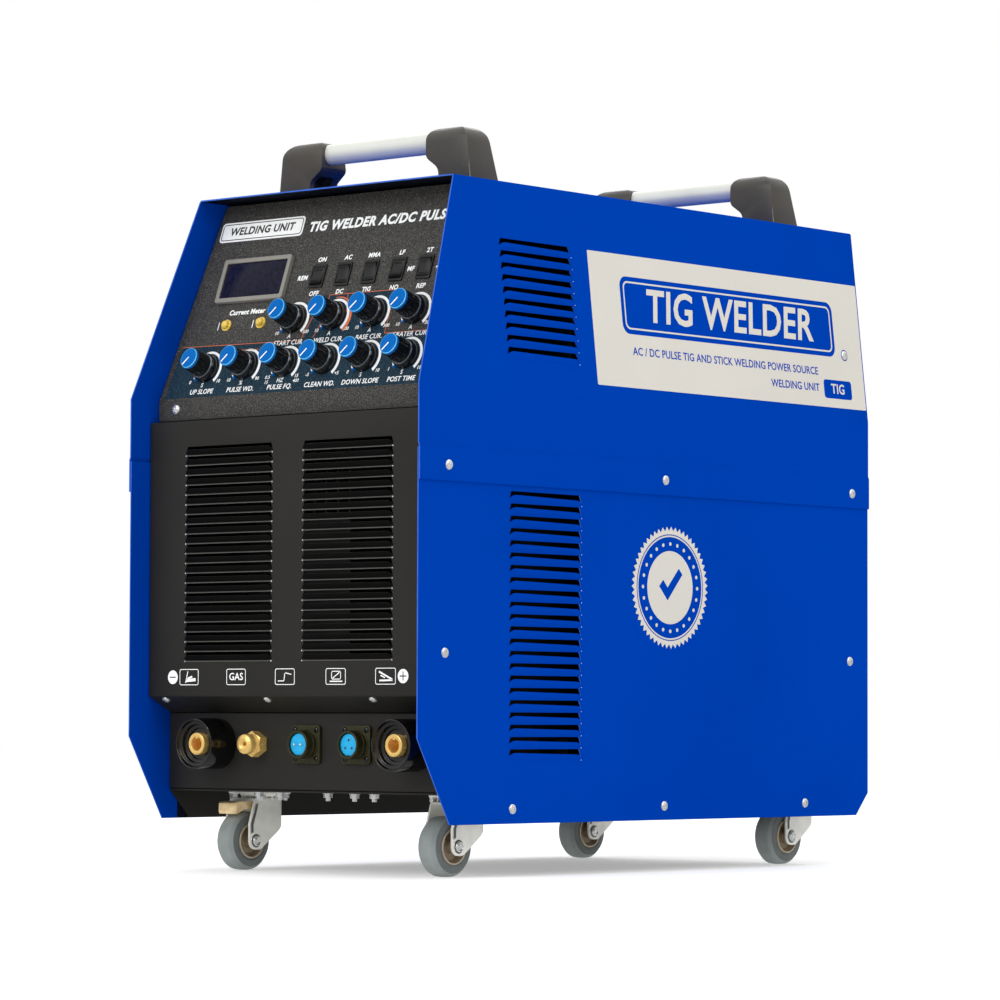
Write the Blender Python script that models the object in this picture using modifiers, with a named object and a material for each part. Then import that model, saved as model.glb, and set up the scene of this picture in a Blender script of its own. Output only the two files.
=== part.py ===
"""TIG welding machine on four swivel castors, as separate named sub-parts in metres, +Z up.

Everything is drawn in the machine frame: x to the right seen from the front, y back from the front
edge of the covers, z up from the bottom edge of the side covers. The root empty puts that frame
where the origin is the middle of the footprint, on the floor.
"""

import math

import bmesh
import bpy
from mathutils import Matrix, Vector

# Covers
DEPTH = 0.616
HALF_WALL = 0.165  # outside of the upper cover's upright wall
HALF_TOP = 0.1455  # outside of the same wall at the roof
HALF_LOWER = 0.1644  # outside of the lower covers
HALF_LAP = 0.166  # outside of the flange that laps over the lower covers
CLEARANCE = 0.044  # bottom edge of the covers above the floor
TOP_Z = 0.532
BEND_Z = 0.357
JOG_Z = 0.308
SEAM_Z = 0.278
NOSE_Y, NOSE_Z = 0.040, 0.070  # cut at the front bottom corner
TAIL_Y, TAIL_Z = 0.018, 0.020  # cut at the rear bottom corner
FRONT_RISE = 0.36  # how far the sloping front goes back for each metre up
SHEET = 0.0012
GAP = 0.0003
LEAN = (HALF_WALL - HALF_TOP) / (TOP_Z - BEND_Z)

# Front
HALF_FRONT = 0.1623  # half width of the panels between the side covers
PANEL_Y = 0.032  # control panel, at the bottom of its slope
PANEL_FOOT_Z = 0.3395
VENT_Y, VENT_TOP_Z, VENT_FOOT_Z = 0.022, 0.338, 0.104
PORT_Y, PORT_TOP_Z = 0.048, 0.0905  # connector panel
PORT_ROW_Z = 0.064
FLOOR_Z = 0.0252  # top of the base tray
REAR_Y = 0.588  # outside of the rear panel
SLOPE_LENGTH = math.hypot(1.0, FRONT_RISE)
PANEL_TILT = math.atan2(1.0, FRONT_RISE)  # turn about x that lays local z on the slope's normal

# Louvres
SIDE_SLOT_FRONT, SIDE_SLOT_REAR = 0.115, 0.203
SIDE_SLOT_HEIGHT, SIDE_SLOT_PITCH = 0.0042, 0.0101
UPPER_SLOTS, UPPER_SLOT_Z = 10, 0.4833
LOWER_SLOTS, LOWER_SLOT_Z = 22, 0.2730
VENT_SLOTS, VENT_SLOT_Z = 22, 0.3155
VENT_SLOT_HEIGHT, VENT_SLOT_PITCH = 0.0052, 0.0083
VENT_COLUMNS = ((-0.1175, -0.0200), (0.0185, 0.1155))

# Controls: x along the panel, s up its slope from the bend
KNOB_PITCH = 0.0457
KNOB_ROWS = ((6, -0.1140, 0.0275), (4, -0.0253, 0.0680))
SWITCHES = ((-0.0103, -1), (0.0190, 1), (0.0495, 1), (0.0800, -1), (0.1105, 1))
SWITCH_S = 0.1070
SWITCH_HOLE = (0.0136, 0.0176)
METER_X, METER_S, METER_SIZE = -0.0835, 0.1085, (0.0790, 0.0405)

# Connectors along the bottom row
SOCKETS = {"output_socket_negative": -0.105, "output_socket_positive": 0.119}
GAS_OUTLET_X = -0.0575
ROUND_PLUGS = {"torch_connector": -0.0005, "remote_connector": 0.056}

# Castors
CASTOR_X = 0.115
CASTORS = {"front_left": (-1, 0.110), "front_right": (1, 0.110), "rear_left": (-1, 0.566),
           "rear_right": (1, 0.566)}
CASTOR_TRAIL = 0.020
WHEEL_RADIUS, WHEEL_HALF_WIDTH, WHEEL_SIDES = 0.025, 0.0105, 24
FORK_HALF_WIDTH, FORK_SHEET = 0.0150, 0.0018
TRAY_UNDER_Z = 0.0237
AXLE_DROP = TRAY_UNDER_Z + CLEARANCE - WHEEL_RADIUS  # axle below the tray

# Handles
HANDLE_FRONTS = {"front": 0.1245, "rear": 0.546}
TUBE_RADIUS, TUBE_BACK, TUBE_Z = 0.009, 0.013, 0.572

# Rear
FAN_X, FAN_Z, FAN_RADIUS = 0.0, 0.205, 0.079
BREAKER_X, BREAKER_Z = 0.070, 0.425
GLAND_X, GLAND_Z = -0.105, 0.072
INLET_X, INLET_Z = 0.110, 0.072

SCREW_RADIUS, SCREW_PROUD = 0.0043, 0.0018
LAP_SCREWS = ((0.0354, 0.291), (0.3174, 0.291), (0.5896, 0.291))
LOWER_SCREWS = ((0.033, 0.139), (0.588, 0.139), (0.1177, 0.012), (0.318, 0.012), (0.520, 0.012))
WALL_SCREW = (0.588, 0.417)

UPRIGHT_XZ = Matrix(((1, 0, 0, 0), (0, 0, -1, 0), (0, 1, 0, 0), (0, 0, 0, 1)))
SIDE_YZ = Matrix(((0, 0, 1, 0), (1, 0, 0, 0), (0, 1, 0, 0), (0, 0, 0, 1)))
ALONG_Y = Matrix.Rotation(math.pi / 2, 4, "X")  # local z to -y, towards the front
ALONG_X = Matrix.Rotation(math.pi / 2, 4, "Y")


def clear_scene():
    for obj in list(bpy.data.objects):
        bpy.data.objects.remove(obj, do_unlink=True)


def new_collection(name):
    group = bpy.data.collections.new(name)
    bpy.context.scene.collection.children.link(group)
    return group


def principled(name, colour, roughness, metallic):
    mat = bpy.data.materials.new(name)
    mat.use_nodes = True
    shader = mat.node_tree.nodes["Principled BSDF"]
    shader.inputs["Base Color"].default_value = (*colour, 1.0)
    shader.inputs["Roughness"].default_value = roughness
    shader.inputs["Metallic"].default_value = metallic
    return mat


BLUE = ((0.0, 0.055, 0.45), 0.35, 0.0)
BLACK = ((0.025, 0.025, 0.023), 0.45, 0.0)
GREY = ((0.075, 0.075, 0.068), 0.5, 0.0)
ALUMINIUM = ((0.70, 0.71, 0.72), 0.35, 1.0)
ZINC = ((0.62, 0.63, 0.62), 0.35, 1.0)
BRASS = ((0.80, 0.55, 0.25), 0.3, 1.0)
OLIVE = ((0.07, 0.06, 0.025), 0.5, 0.6)
TYRE = ((0.22, 0.25, 0.24), 0.7, 0.0)
TAN = ((0.62, 0.42, 0.18), 0.5, 0.3)
GREEN = ((0.02, 0.12, 0.05), 0.5, 0.0)
AZURE = ((0.0, 0.19, 0.68), 0.35, 0.0)
COPPER = ((0.55, 0.25, 0.10), 0.4, 0.6)


def place(name, mesh, look, parent, matrix=None):
    """One sub-part: its own object and its own material."""
    mesh.materials.clear()
    mesh.materials.append(principled(name, *look))
    obj = bpy.data.objects.new(name, mesh)
    PARTS.objects.link(obj)
    obj.parent = parent
    if matrix is not None:
        obj.matrix_local = matrix
    return obj


def helper(mesh, target):
    """A Boolean operand that sits in its target's own frame."""
    obj = bpy.data.objects.new(mesh.name, mesh)
    CUTTERS.objects.link(obj)
    obj.parent = target
    obj.hide_render = True
    obj.display_type = "WIRE"
    return obj


def boolean(target, mesh, operation):
    modifier = target.modifiers.new(mesh.name, "BOOLEAN")
    modifier.object = helper(mesh, target)
    modifier.operation = operation
    modifier.solver = "EXACT"


def solidify(obj, thickness=SHEET):
    modifier = obj.modifiers.new("sheet", "SOLIDIFY")
    modifier.thickness = thickness
    modifier.offset = -1.0
    modifier.solidify_mode = "NON_MANIFOLD"
    modifier.nonmanifold_thickness_mode = "CONSTRAINTS"


def to_mesh(bm, name):
    mesh = bpy.data.meshes.new(name)
    bm.to_mesh(mesh)
    bm.free()
    return mesh


def shift(x=0.0, y=0.0, z=0.0):
    return Matrix.Translation((x, y, z))


def add_box(bm, low, high, matrix=None):
    low, high = Vector(low), Vector(high)
    size = high - low
    at = Matrix.Translation((low + high) / 2) @ Matrix.Diagonal((*size, 1.0))
    bmesh.ops.create_cube(bm, size=1.0, matrix=(matrix or Matrix()) @ at)


def add_rod(bm, radius, start, end, matrix, sides=16, turn=0.0):
    """A cylinder along the matrix's local z, from start to end."""
    at = matrix @ shift(z=(start + end) / 2) @ Matrix.Rotation(turn, 4, "Z")
    bmesh.ops.create_cone(bm, cap_ends=True, segments=sides, radius1=radius, radius2=radius,
                          depth=end - start, matrix=at)


def boxes(name, spans, matrix=None):
    bm = bmesh.new()
    for low, high in spans:
        add_box(bm, low, high, matrix)
    return to_mesh(bm, name)


def rods(name, radius, start, end, matrices, sides=16, turn=0.0):
    bm = bmesh.new()
    for matrix in matrices:
        add_rod(bm, radius, start, end, matrix, sides, turn)
    return to_mesh(bm, name)


def rounded(corners, steps=4):
    """Corner points (u, v) or (u, v, radius), with each radius drawn as an arc."""
    points = []
    for i, corner in enumerate(corners):
        here = Vector(corner[:2])
        if len(corner) == 2:
            points.append(here)
            continue
        before = (Vector(corners[i - 1][:2]) - here).normalized()
        after = (Vector(corners[(i + 1) % len(corners)][:2]) - here).normalized()
        half = before.angle(after) / 2
        centre = here + (before + after).normalized() * corner[2] / math.sin(half)
        first = here + before * corner[2] / math.tan(half) - centre
        last = here + after * corner[2] / math.tan(half) - centre
        sweep = first.angle_signed(last)
        for k in range(steps + 1):
            points.append(centre + Matrix.Rotation(-sweep * k / steps, 2) @ first)
    return points


def circle(radius, sides, u=0.0, v=0.0):
    return [(u + radius * math.cos(2 * math.pi * k / sides),
             v + radius * math.sin(2 * math.pi * k / sides)) for k in range(sides)]


def rectangle(u0, v0, u1, v1):
    return [(u0, v0), (u1, v0), (u1, v1), (u0, v1)]


def drawn(name, loops, thickness, matrix):
    """A flat outline with holes, thickened both ways about its plane, as a mesh."""
    curve = bpy.data.curves.new(name, "CURVE")
    curve.dimensions = "2D"
    curve.fill_mode = "BOTH"
    curve.extrude = thickness / 2
    for loop in loops:
        spline = curve.splines.new("POLY")
        spline.points.add(len(loop) - 1)
        for point, (u, v) in zip(spline.points, loop):
            point.co = (u, v, 0.0, 1.0)
        spline.use_cyclic_u = True
    drawing = bpy.data.objects.new(name, curve)
    bpy.context.scene.collection.objects.link(drawing)
    bpy.context.view_layer.update()
    evaluated = drawing.evaluated_get(bpy.context.evaluated_depsgraph_get())
    mesh = bpy.data.meshes.new_from_object(evaluated)
    bpy.data.objects.remove(drawing, do_unlink=True)
    bpy.data.curves.remove(curve)
    bm = bmesh.new()
    bm.from_mesh(mesh)
    bpy.data.meshes.remove(mesh)
    bmesh.ops.remove_doubles(bm, verts=bm.verts, dist=1e-6)
    bmesh.ops.transform(bm, matrix=matrix, verts=bm.verts)
    bmesh.ops.recalc_face_normals(bm, faces=bm.faces)
    return to_mesh(bm, name)


def lathe(name, profile, sides, look, parent, matrix, closed=False):
    """A profile of (radius, height) pairs, top to bottom on its outer side, turned about local z."""
    bm = bmesh.new()
    points = [bm.verts.new((r, 0.0, h)) for r, h in profile]
    for a, b in zip(points, points[1:]):
        bm.edges.new((a, b))
    if closed:
        bm.edges.new((points[-1], points[0]))
    obj = place(name, to_mesh(bm, name), look, parent, matrix)
    screw = obj.modifiers.new("turned", "SCREW")
    screw.steps = screw.render_steps = sides
    screw.use_merge_vertices = True
    screw.merge_threshold = 0.00001
    screw.use_smooth_shade = False
    return obj


def open_pan(name, outline, thickness, matrix, open_side):
    """A prism without the faces that look along open_side: a folded pan, as a surface."""
    mesh = drawn(name, [outline], thickness, matrix)
    bm = bmesh.new()
    bm.from_mesh(mesh)
    away = [f for f in bm.faces if f.normal.dot(Vector(open_side)) > 0.5]
    bmesh.ops.delete(bm, geom=away, context="FACES")
    bmesh.ops.dissolve_limit(bm, angle_limit=0.001, verts=bm.verts, edges=bm.edges)
    bm.to_mesh(mesh)
    bm.free()
    return mesh


def follow_lean(mesh):
    """Draws a panel's sides in where the upper cover's walls lean in."""
    for vertex in mesh.vertices:
        rise = max(0.0, vertex.co.z - BEND_Z)
        vertex.co.x -= math.copysign(LEAN * rise, vertex.co.x)


def on_panel(x, s, lift=0.0):
    """Local z out of the control panel, local y up its slope."""
    foot = shift(x, PANEL_Y + FRONT_RISE * s / SLOPE_LENGTH, BEND_Z + s / SLOPE_LENGTH)
    return foot @ Matrix.Rotation(PANEL_TILT, 4, "X") @ shift(z=lift)


def front_edge(z):
    return FRONT_RISE * max(0.0, z - BEND_Z)


def slot_rows(count, top, pitch, height):
    return [(top - k * pitch - height, top - k * pitch) for k in range(count)]


def build_upper_cover():
    right = [(HALF_LAP, SEAM_Z), (HALF_LAP, JOG_Z - 0.003), (HALF_WALL, JOG_Z),
             (HALF_WALL, BEND_Z), (HALF_TOP, TOP_Z)]
    section = right + [(-x, z) for x, z in reversed(right)]
    bm = bmesh.new()
    rows = [(bm.verts.new((x, front_edge(z), z)), bm.verts.new((x, DEPTH, z))) for x, z in section]
    for (a, b), (c, d) in zip(rows, rows[1:]):
        bm.faces.new((a, b, d, c))
    cover = place("upper_cover", to_mesh(bm, "upper_cover"), BLUE, MACHINE)
    solidify(cover)
    rows = slot_rows(UPPER_SLOTS, UPPER_SLOT_Z, SIDE_SLOT_PITCH, SIDE_SLOT_HEIGHT)
    slots = [((-0.2, SIDE_SLOT_FRONT, low), (0.2, SIDE_SLOT_REAR, high)) for low, high in rows]
    boolean(cover, boxes("upper_slots", slots), "DIFFERENCE")
    heads = []
    for side in (-1, 1):
        turn = Matrix.Rotation(side * math.pi / 2, 4, "Y")
        heads += [shift(side * HALF_LAP, y, z) @ turn for y, z in LAP_SCREWS]
        y, z = WALL_SCREW
        wall = shift(side * (HALF_WALL - LEAN * (z - BEND_Z)), y, z)
        heads.append(wall @ Matrix.Rotation(side * (math.pi / 2 - math.atan(LEAN)), 4, "Y"))
    boolean(cover, rods("lap_screws", SCREW_RADIUS, -0.0006, SCREW_PROUD, heads, 10), "UNION")


def build_lower_cover(name, side):
    top = JOG_Z - 0.0038
    outer = [(0.0, top), (0.0, NOSE_Z), (NOSE_Y, 0.0), (DEPTH - TAIL_Y, 0.0),
             (DEPTH, TAIL_Z), (DEPTH, top)]
    rows = slot_rows(LOWER_SLOTS, LOWER_SLOT_Z, SIDE_SLOT_PITCH, SIDE_SLOT_HEIGHT)
    holes = [rectangle(SIDE_SLOT_FRONT, low, SIDE_SLOT_REAR, high) for low, high in rows]
    middle = side * (HALF_LOWER - SHEET / 2)
    mesh = drawn(name, [outer, *holes], SHEET, shift(middle) @ SIDE_YZ)
    cover = place(name, mesh, BLUE, MACHINE)
    turn = Matrix.Rotation(side * math.pi / 2, 4, "Y")
    heads = [shift(side * HALF_LOWER, y, z) @ turn for y, z in LOWER_SCREWS]
    boolean(cover, rods("lower_screws", SCREW_RADIUS, -0.0006, SCREW_PROUD - 0.0001, heads, 10), "UNION")


def build_base_tray():
    edge = HALF_LOWER - SHEET - 0.0004
    skirt = 0.0007
    section = [(edge, skirt), (edge, FLOOR_Z), (-edge, FLOOR_Z), (-edge, skirt)]
    bm = bmesh.new()
    rows = []
    for x, z in section:
        back = 0.0234 if z == skirt else 0.0
        front = bm.verts.new((x, PORT_Y + back, z))
        rows.append((front, bm.verts.new((x, REAR_Y - back / 2, z))))
    for (a, b), (c, d) in zip(rows, rows[1:]):
        bm.faces.new((a, b, d, c))
    tray = place("base_tray", to_mesh(bm, "base_tray"), BLACK, MACHINE)
    solidify(tray, FLOOR_Z - TRAY_UNDER_Z)


def build_control_panel():
    top_z = 0.529
    top_y = PANEL_Y + FRONT_RISE * (top_z - BEND_Z)
    back = 0.018
    outline = [(PANEL_Y, PANEL_FOOT_Z), (PANEL_Y + back, PANEL_FOOT_Z), (PANEL_Y + back, BEND_Z),
               (top_y + back, top_z), (top_y, top_z), (PANEL_Y, BEND_Z)]
    mesh = open_pan("control_panel", outline, 2 * HALF_FRONT, SIDE_YZ, (0, 1, 0))
    follow_lean(mesh)
    panel = place("control_panel", mesh, GREY, MACHINE)
    solidify(panel)
    shafts = [on_panel(x0 + k * KNOB_PITCH, s) for count, x0, s in KNOB_ROWS for k in range(count)]
    boolean(panel, rods("shaft_holes", 0.0036, -0.004, 0.004, shafts, 10), "DIFFERENCE")
    bm = bmesh.new()
    wide, tall = SWITCH_HOLE
    for x, _ in SWITCHES:
        add_box(bm, (-wide / 2, -tall / 2, -0.004), (wide / 2, tall / 2, 0.004), on_panel(x, SWITCH_S))
    wide, tall = METER_SIZE[0] - 0.006, METER_SIZE[1] - 0.006
    add_box(bm, (-wide / 2, -tall / 2, -0.004), (wide / 2, tall / 2, 0.004),
            on_panel(METER_X, METER_S))
    boolean(panel, to_mesh(bm, "panel_cutouts"), "DIFFERENCE")


def build_vent_panel():
    back = PORT_Y - GAP
    outline = [(VENT_Y, VENT_FOOT_Z), (back, PORT_TOP_Z + GAP), (back, VENT_TOP_Z),
               (VENT_Y, VENT_TOP_Z)]
    mesh = open_pan("vent_panel", outline, 2 * HALF_FRONT, SIDE_YZ, (0, 1, 0))
    panel = place("vent_panel", mesh, BLACK, MACHINE)
    solidify(panel)
    rows = slot_rows(VENT_SLOTS, VENT_SLOT_Z, VENT_SLOT_PITCH, VENT_SLOT_HEIGHT)
    slots = [((left, VENT_Y - 0.01, low), (right, VENT_Y + 0.01, high))
             for left, right in VENT_COLUMNS for low, high in rows]
    boolean(panel, boxes("vent_slots", slots), "DIFFERENCE")


def build_connector_panel():
    outline = rectangle(PORT_Y, FLOOR_Z + GAP, PORT_Y + 0.020, PORT_TOP_Z)
    mesh = open_pan("connector_panel", outline, 2 * HALF_FRONT, SIDE_YZ, (0, 1, 0))
    panel = place("connector_panel", mesh, BLACK, MACHINE)
    solidify(panel)
    bm = bmesh.new()
    for x in SOCKETS.values():
        add_rod(bm, 0.0123, -0.01, 0.01, shift(x, PORT_Y, PORT_ROW_Z) @ ALONG_Y, 20)
    for x in ROUND_PLUGS.values():
        add_rod(bm, 0.0113, -0.01, 0.01, shift(x, PORT_Y, PORT_ROW_Z) @ ALONG_Y, 20)
    add_rod(bm, 0.0053, -0.01, 0.01, shift(GAS_OUTLET_X, PORT_Y, PORT_ROW_Z) @ ALONG_Y, 12)
    boolean(panel, to_mesh(bm, "port_holes"), "DIFFERENCE")


def build_rear_panel():
    top_z = 0.529
    outline = [(-HALF_FRONT, FLOOR_Z + GAP), (HALF_FRONT, FLOOR_Z + GAP), (HALF_FRONT, BEND_Z),
               (HALF_FRONT, top_z), (-HALF_FRONT, top_z), (-HALF_FRONT, BEND_Z)]
    mesh = open_pan("rear_panel", outline, 0.020, shift(y=REAR_Y - 0.010) @ UPRIGHT_XZ, (0, -1, 0))
    follow_lean(mesh)
    panel = place("rear_panel", mesh, BLACK, MACHINE)
    solidify(panel)
    bm = bmesh.new()
    add_rod(bm, FAN_RADIUS, -0.01, 0.01, shift(FAN_X, REAR_Y, FAN_Z) @ ALONG_Y, 32)
    add_rod(bm, 0.0103, -0.01, 0.01, shift(GLAND_X, REAR_Y, GLAND_Z) @ ALONG_Y, 16)
    add_rod(bm, 0.0053, -0.01, 0.01, shift(INLET_X, REAR_Y, INLET_Z) @ ALONG_Y, 12)
    add_box(bm, (BREAKER_X - 0.0275, REAR_Y - 0.01, BREAKER_Z - 0.0230),
            (BREAKER_X + 0.0275, REAR_Y + 0.01, BREAKER_Z + 0.0230))
    boolean(panel, to_mesh(bm, "rear_openings"), "DIFFERENCE")


def build_handle(where, front):
    """Two moulded brackets that lean in towards the grip, and a tube held in their blind sockets."""
    base = TOP_Z + GAP
    top = TUBE_Z + TUBE_RADIUS + 0.003
    for side, hand in ((-1, "left"), (1, "right")):
        face = [(0.1105, base), (0.1050, top - 0.001, 0.009), (0.0600, top - 0.001, 0.008),
                (0.0600, 0.5585, 0.006), (0.0735, 0.5490, 0.008), (0.0755, base)]
        face = [(side * u, v) for u, v in rounded(face, 3)]
        name = f"handle_bracket_{where}_{hand}"
        mesh = drawn(name, [face], 0.0400, shift(y=front + 0.0200) @ UPRIGHT_XZ)
        obj = place(name, mesh, GREY, MACHINE)
        arch = [(front, base - 0.001), (front, top, 0.0125), (front + 0.0262, top, 0.0125),
                (front + 0.0375, base - 0.001)]
        boolean(obj, drawn(f"{name}_arch", [rounded(arch, 5)], 0.4, SIDE_YZ), "INTERSECT")
        sideways = Matrix.Rotation(side * math.pi / 2, 4, "Y")
        mouth = shift(side * 0.0600, front + TUBE_BACK, TUBE_Z) @ sideways
        boolean(obj, rods(f"{name}_socket", TUBE_RADIUS + GAP, -0.01, 0.0143, [mouth], 24), "DIFFERENCE")
    reach = 0.0740
    profile = [(TUBE_RADIUS, reach), (TUBE_RADIUS, -reach), (TUBE_RADIUS - 0.0015, -reach),
               (TUBE_RADIUS - 0.0015, reach)]
    lathe(f"handle_tube_{where}", profile, 24, ALUMINIUM, MACHINE,
          shift(0.0, front + TUBE_BACK, TUBE_Z) @ ALONG_X, closed=True)


def build_castor(name, side, y):
    pivot = shift(side * CASTOR_X, y, TRAY_UNDER_Z)
    plate = boxes(f"castor_plate_{name}", [((-0.021, -0.019, -0.0028), (0.021, 0.019, -GAP))])
    plate = place(f"castor_plate_{name}", plate, ZINC, MACHINE, pivot)
    boolean(plate, rods("race", 0.0160, -0.0055, -0.0020, [Matrix()], 20), "UNION")

    # The yoke: a sheet bent to a U seen from above, trimmed to its side view, with a crown and an axle
    outside, inside = FORK_HALF_WIDTH, FORK_HALF_WIDTH - FORK_SHEET
    nose, tail = -CASTOR_TRAIL - 0.010, 0.019
    bend = [(-outside, nose), (outside, nose), (outside, tail, 0.011), (-outside, tail, 0.011)]
    room = [(-inside, nose - 0.01), (inside, nose - 0.01), (inside, tail - FORK_SHEET, 0.0095),
            (-inside, tail - FORK_SHEET, 0.0095)]
    crown = -0.0072
    low = -AXLE_DROP - 0.0075
    mesh = drawn(f"castor_fork_{name}", [rounded(bend, 4)], 0.060, shift(z=-0.036))
    yoke = place(f"castor_fork_{name}", mesh, ZINC, MACHINE, pivot)
    under_crown = shift(z=crown - FORK_SHEET - 0.030)
    boolean(yoke, drawn("yoke_room", [rounded(room, 4)], 0.060, under_crown), "DIFFERENCE")
    trim = [(nose + 0.0095, crown), (tail + 0.001, crown), (tail + 0.001, -0.026, 0.004),
            (-CASTOR_TRAIL + 0.006, low, 0.006), (-CASTOR_TRAIL - 0.0075, low, 0.0073),
            (-CASTOR_TRAIL - 0.0075, -0.030)]
    boolean(yoke, drawn("yoke_trim", [rounded(trim, 4)], 0.08, SIDE_YZ), "INTERSECT")
    bm = bmesh.new()
    add_rod(bm, 0.0110, crown - 0.001, -0.0058, Matrix(), 16)
    axle = shift(0, -CASTOR_TRAIL, -AXLE_DROP) @ ALONG_X
    add_rod(bm, 0.0030, -outside - 0.0030, outside + 0.0030, axle, 12)
    boolean(yoke, to_mesh(bm, "yoke_axle"), "UNION")

    # The outer corners stand a little proud, so that the flats between them touch the floor
    rim = WHEEL_RADIUS / math.cos(math.pi / WHEEL_SIDES)
    half = WHEEL_HALF_WIDTH
    profile = [(0.0033, half), (0.0070, half), (0.0100, half - 0.0040), (0.0165, half - 0.0005),
               (rim - 0.0025, half), (rim, half - 0.0025)]
    profile += [(r, -h) for r, h in reversed(profile)]
    turn = ALONG_X @ Matrix.Rotation(math.pi / WHEEL_SIDES, 4, "Z")
    lathe(f"castor_wheel_{name}", profile, WHEEL_SIDES, TYRE, MACHINE,
          pivot @ shift(0, -CASTOR_TRAIL, -AXLE_DROP) @ turn, closed=True)


def build_brake_pedal():
    """A foot brake on the front left castor, hinged between the yoke's cheeks over the wheel."""
    side, y = CASTORS["front_left"]
    pivot = shift(side * CASTOR_X, y - 0.012, TRAY_UNDER_Z - 0.0125)
    outline = [(0.003, 0.0025, 0.002), (0.003, -0.0035, 0.002), (-0.017, -0.0032), (-0.027, -0.0075, 0.002),
               (-0.031, -0.0045, 0.002), (-0.029, 0.0020, 0.003), (-0.014, 0.0035)]
    mesh = drawn("brake_pedal", [rounded(outline, 2)], 0.0215, SIDE_YZ)
    place("brake_pedal", mesh, TAN, MACHINE, pivot)


def build_knob(name, x, s):
    profile = [(0.0, 0.0250), (0.0090, 0.0250), (0.0095, 0.0225), (0.0104, 0.0080), (0.0122, 0.0065),
               (0.0125, GAP), (0.0030, GAP), (0.0030, -0.0080), (0.0, -0.0080)]
    lathe(name, profile, 16, AZURE, MACHINE, on_panel(x, s))


def build_switch(name, x, tip):
    """A rocker on a pin just under the panel. Tip 1 rests with its lower half in, -1 its upper."""
    outline = [(-0.0081, 0.0012), (-0.0078, -0.0016), (0.0078, -0.0016), (0.0081, 0.0012),
               (0.0076, 0.0040), (0.0, 0.0024), (-0.0076, 0.0040)]
    mesh = drawn(name, [outline], 0.0126, SIDE_YZ)
    rest = Matrix.Rotation(tip * math.radians(7.0), 4, "X")
    place(name, mesh, BLACK, MACHINE, on_panel(x, SWITCH_S, -0.0006) @ rest)


def build_meter():
    wide, tall = METER_SIZE
    outer = rounded([(-wide / 2, -tall / 2, 0.002), (wide / 2, -tall / 2, 0.002),
                     (wide / 2, tall / 2, 0.002), (-wide / 2, tall / 2, 0.002)], 2)
    mesh = drawn("meter_bezel", [outer], 0.0040, shift(z=GAP + 0.0020))
    meter = place("meter_bezel", mesh, GREY, MACHINE, on_panel(METER_X, METER_S))
    inset = 0.0035
    low, high = (-wide / 2 + inset, -tall / 2 + inset), (wide / 2 - inset, tall / 2 - inset)
    boolean(meter, boxes("meter_window", [((*low, 0.0030), (*high, 0.0100))]), "DIFFERENCE")
    boolean(meter, boxes("meter_case", [((*low, -0.0220), (*high, 0.0015))]), "UNION")


def build_sockets():
    for name, x in SOCKETS.items():
        profile = [(0.0, -0.0100), (0.0065, -0.0100), (0.0065, 0.0250), (0.0088, 0.0250), (0.0088, 0.0215),
                   (0.0150, 0.0215), (0.0175, 0.0240), (0.0182, 0.0295), (0.0205, 0.0300), (0.0213, 0.0290),
                   (0.0217, GAP), (0.0120, GAP), (0.0120, -0.0180), (0.0, -0.0180)]
        lathe(name, profile, 20, BLACK, MACHINE, shift(x, PORT_Y, PORT_ROW_Z) @ ALONG_Y)
    profile = [(0.0, 0.0075), (0.0015, 0.0075), (0.0015, 0.0140), (0.0040, 0.0145), (0.0078, 0.0125),
               (0.0082, 0.0070), (0.0082, GAP), (0.0050, GAP), (0.0050, -0.0150), (0.0, -0.0150)]
    outlet = lathe("gas_outlet", profile, 16, BRASS, MACHINE,
                   shift(GAS_OUTLET_X, PORT_Y, PORT_ROW_Z) @ ALONG_Y)
    boolean(outlet, rods("outlet_hex", 0.0100, GAP, 0.0066, [Matrix()], 6), "UNION")
    for name, x in ROUND_PLUGS.items():
        corner = 0.0160
        plate = rounded([(-corner, -corner, 0.003), (corner, -corner, 0.003), (corner, corner, 0.003),
                         (-corner, corner, 0.003)], 2)
        mesh = drawn(name, [plate], 0.0025, shift(z=GAP + 0.00125))
        plug = place(name, mesh, OLIVE, MACHINE, shift(x, PORT_Y, PORT_ROW_Z) @ ALONG_Y)
        bm = bmesh.new()
        add_rod(bm, 0.0118, 0.0010, 0.0125, Matrix(), 20)
        add_rod(bm, 0.0105, -0.0100, 0.0012, Matrix(), 16)
        boolean(plug, to_mesh(bm, f"{name}_shell"), "UNION")
        boolean(plug, rods(f"{name}_mouth", 0.0100, 0.0060, 0.0200, [Matrix()], 20), "DIFFERENCE")


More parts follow.
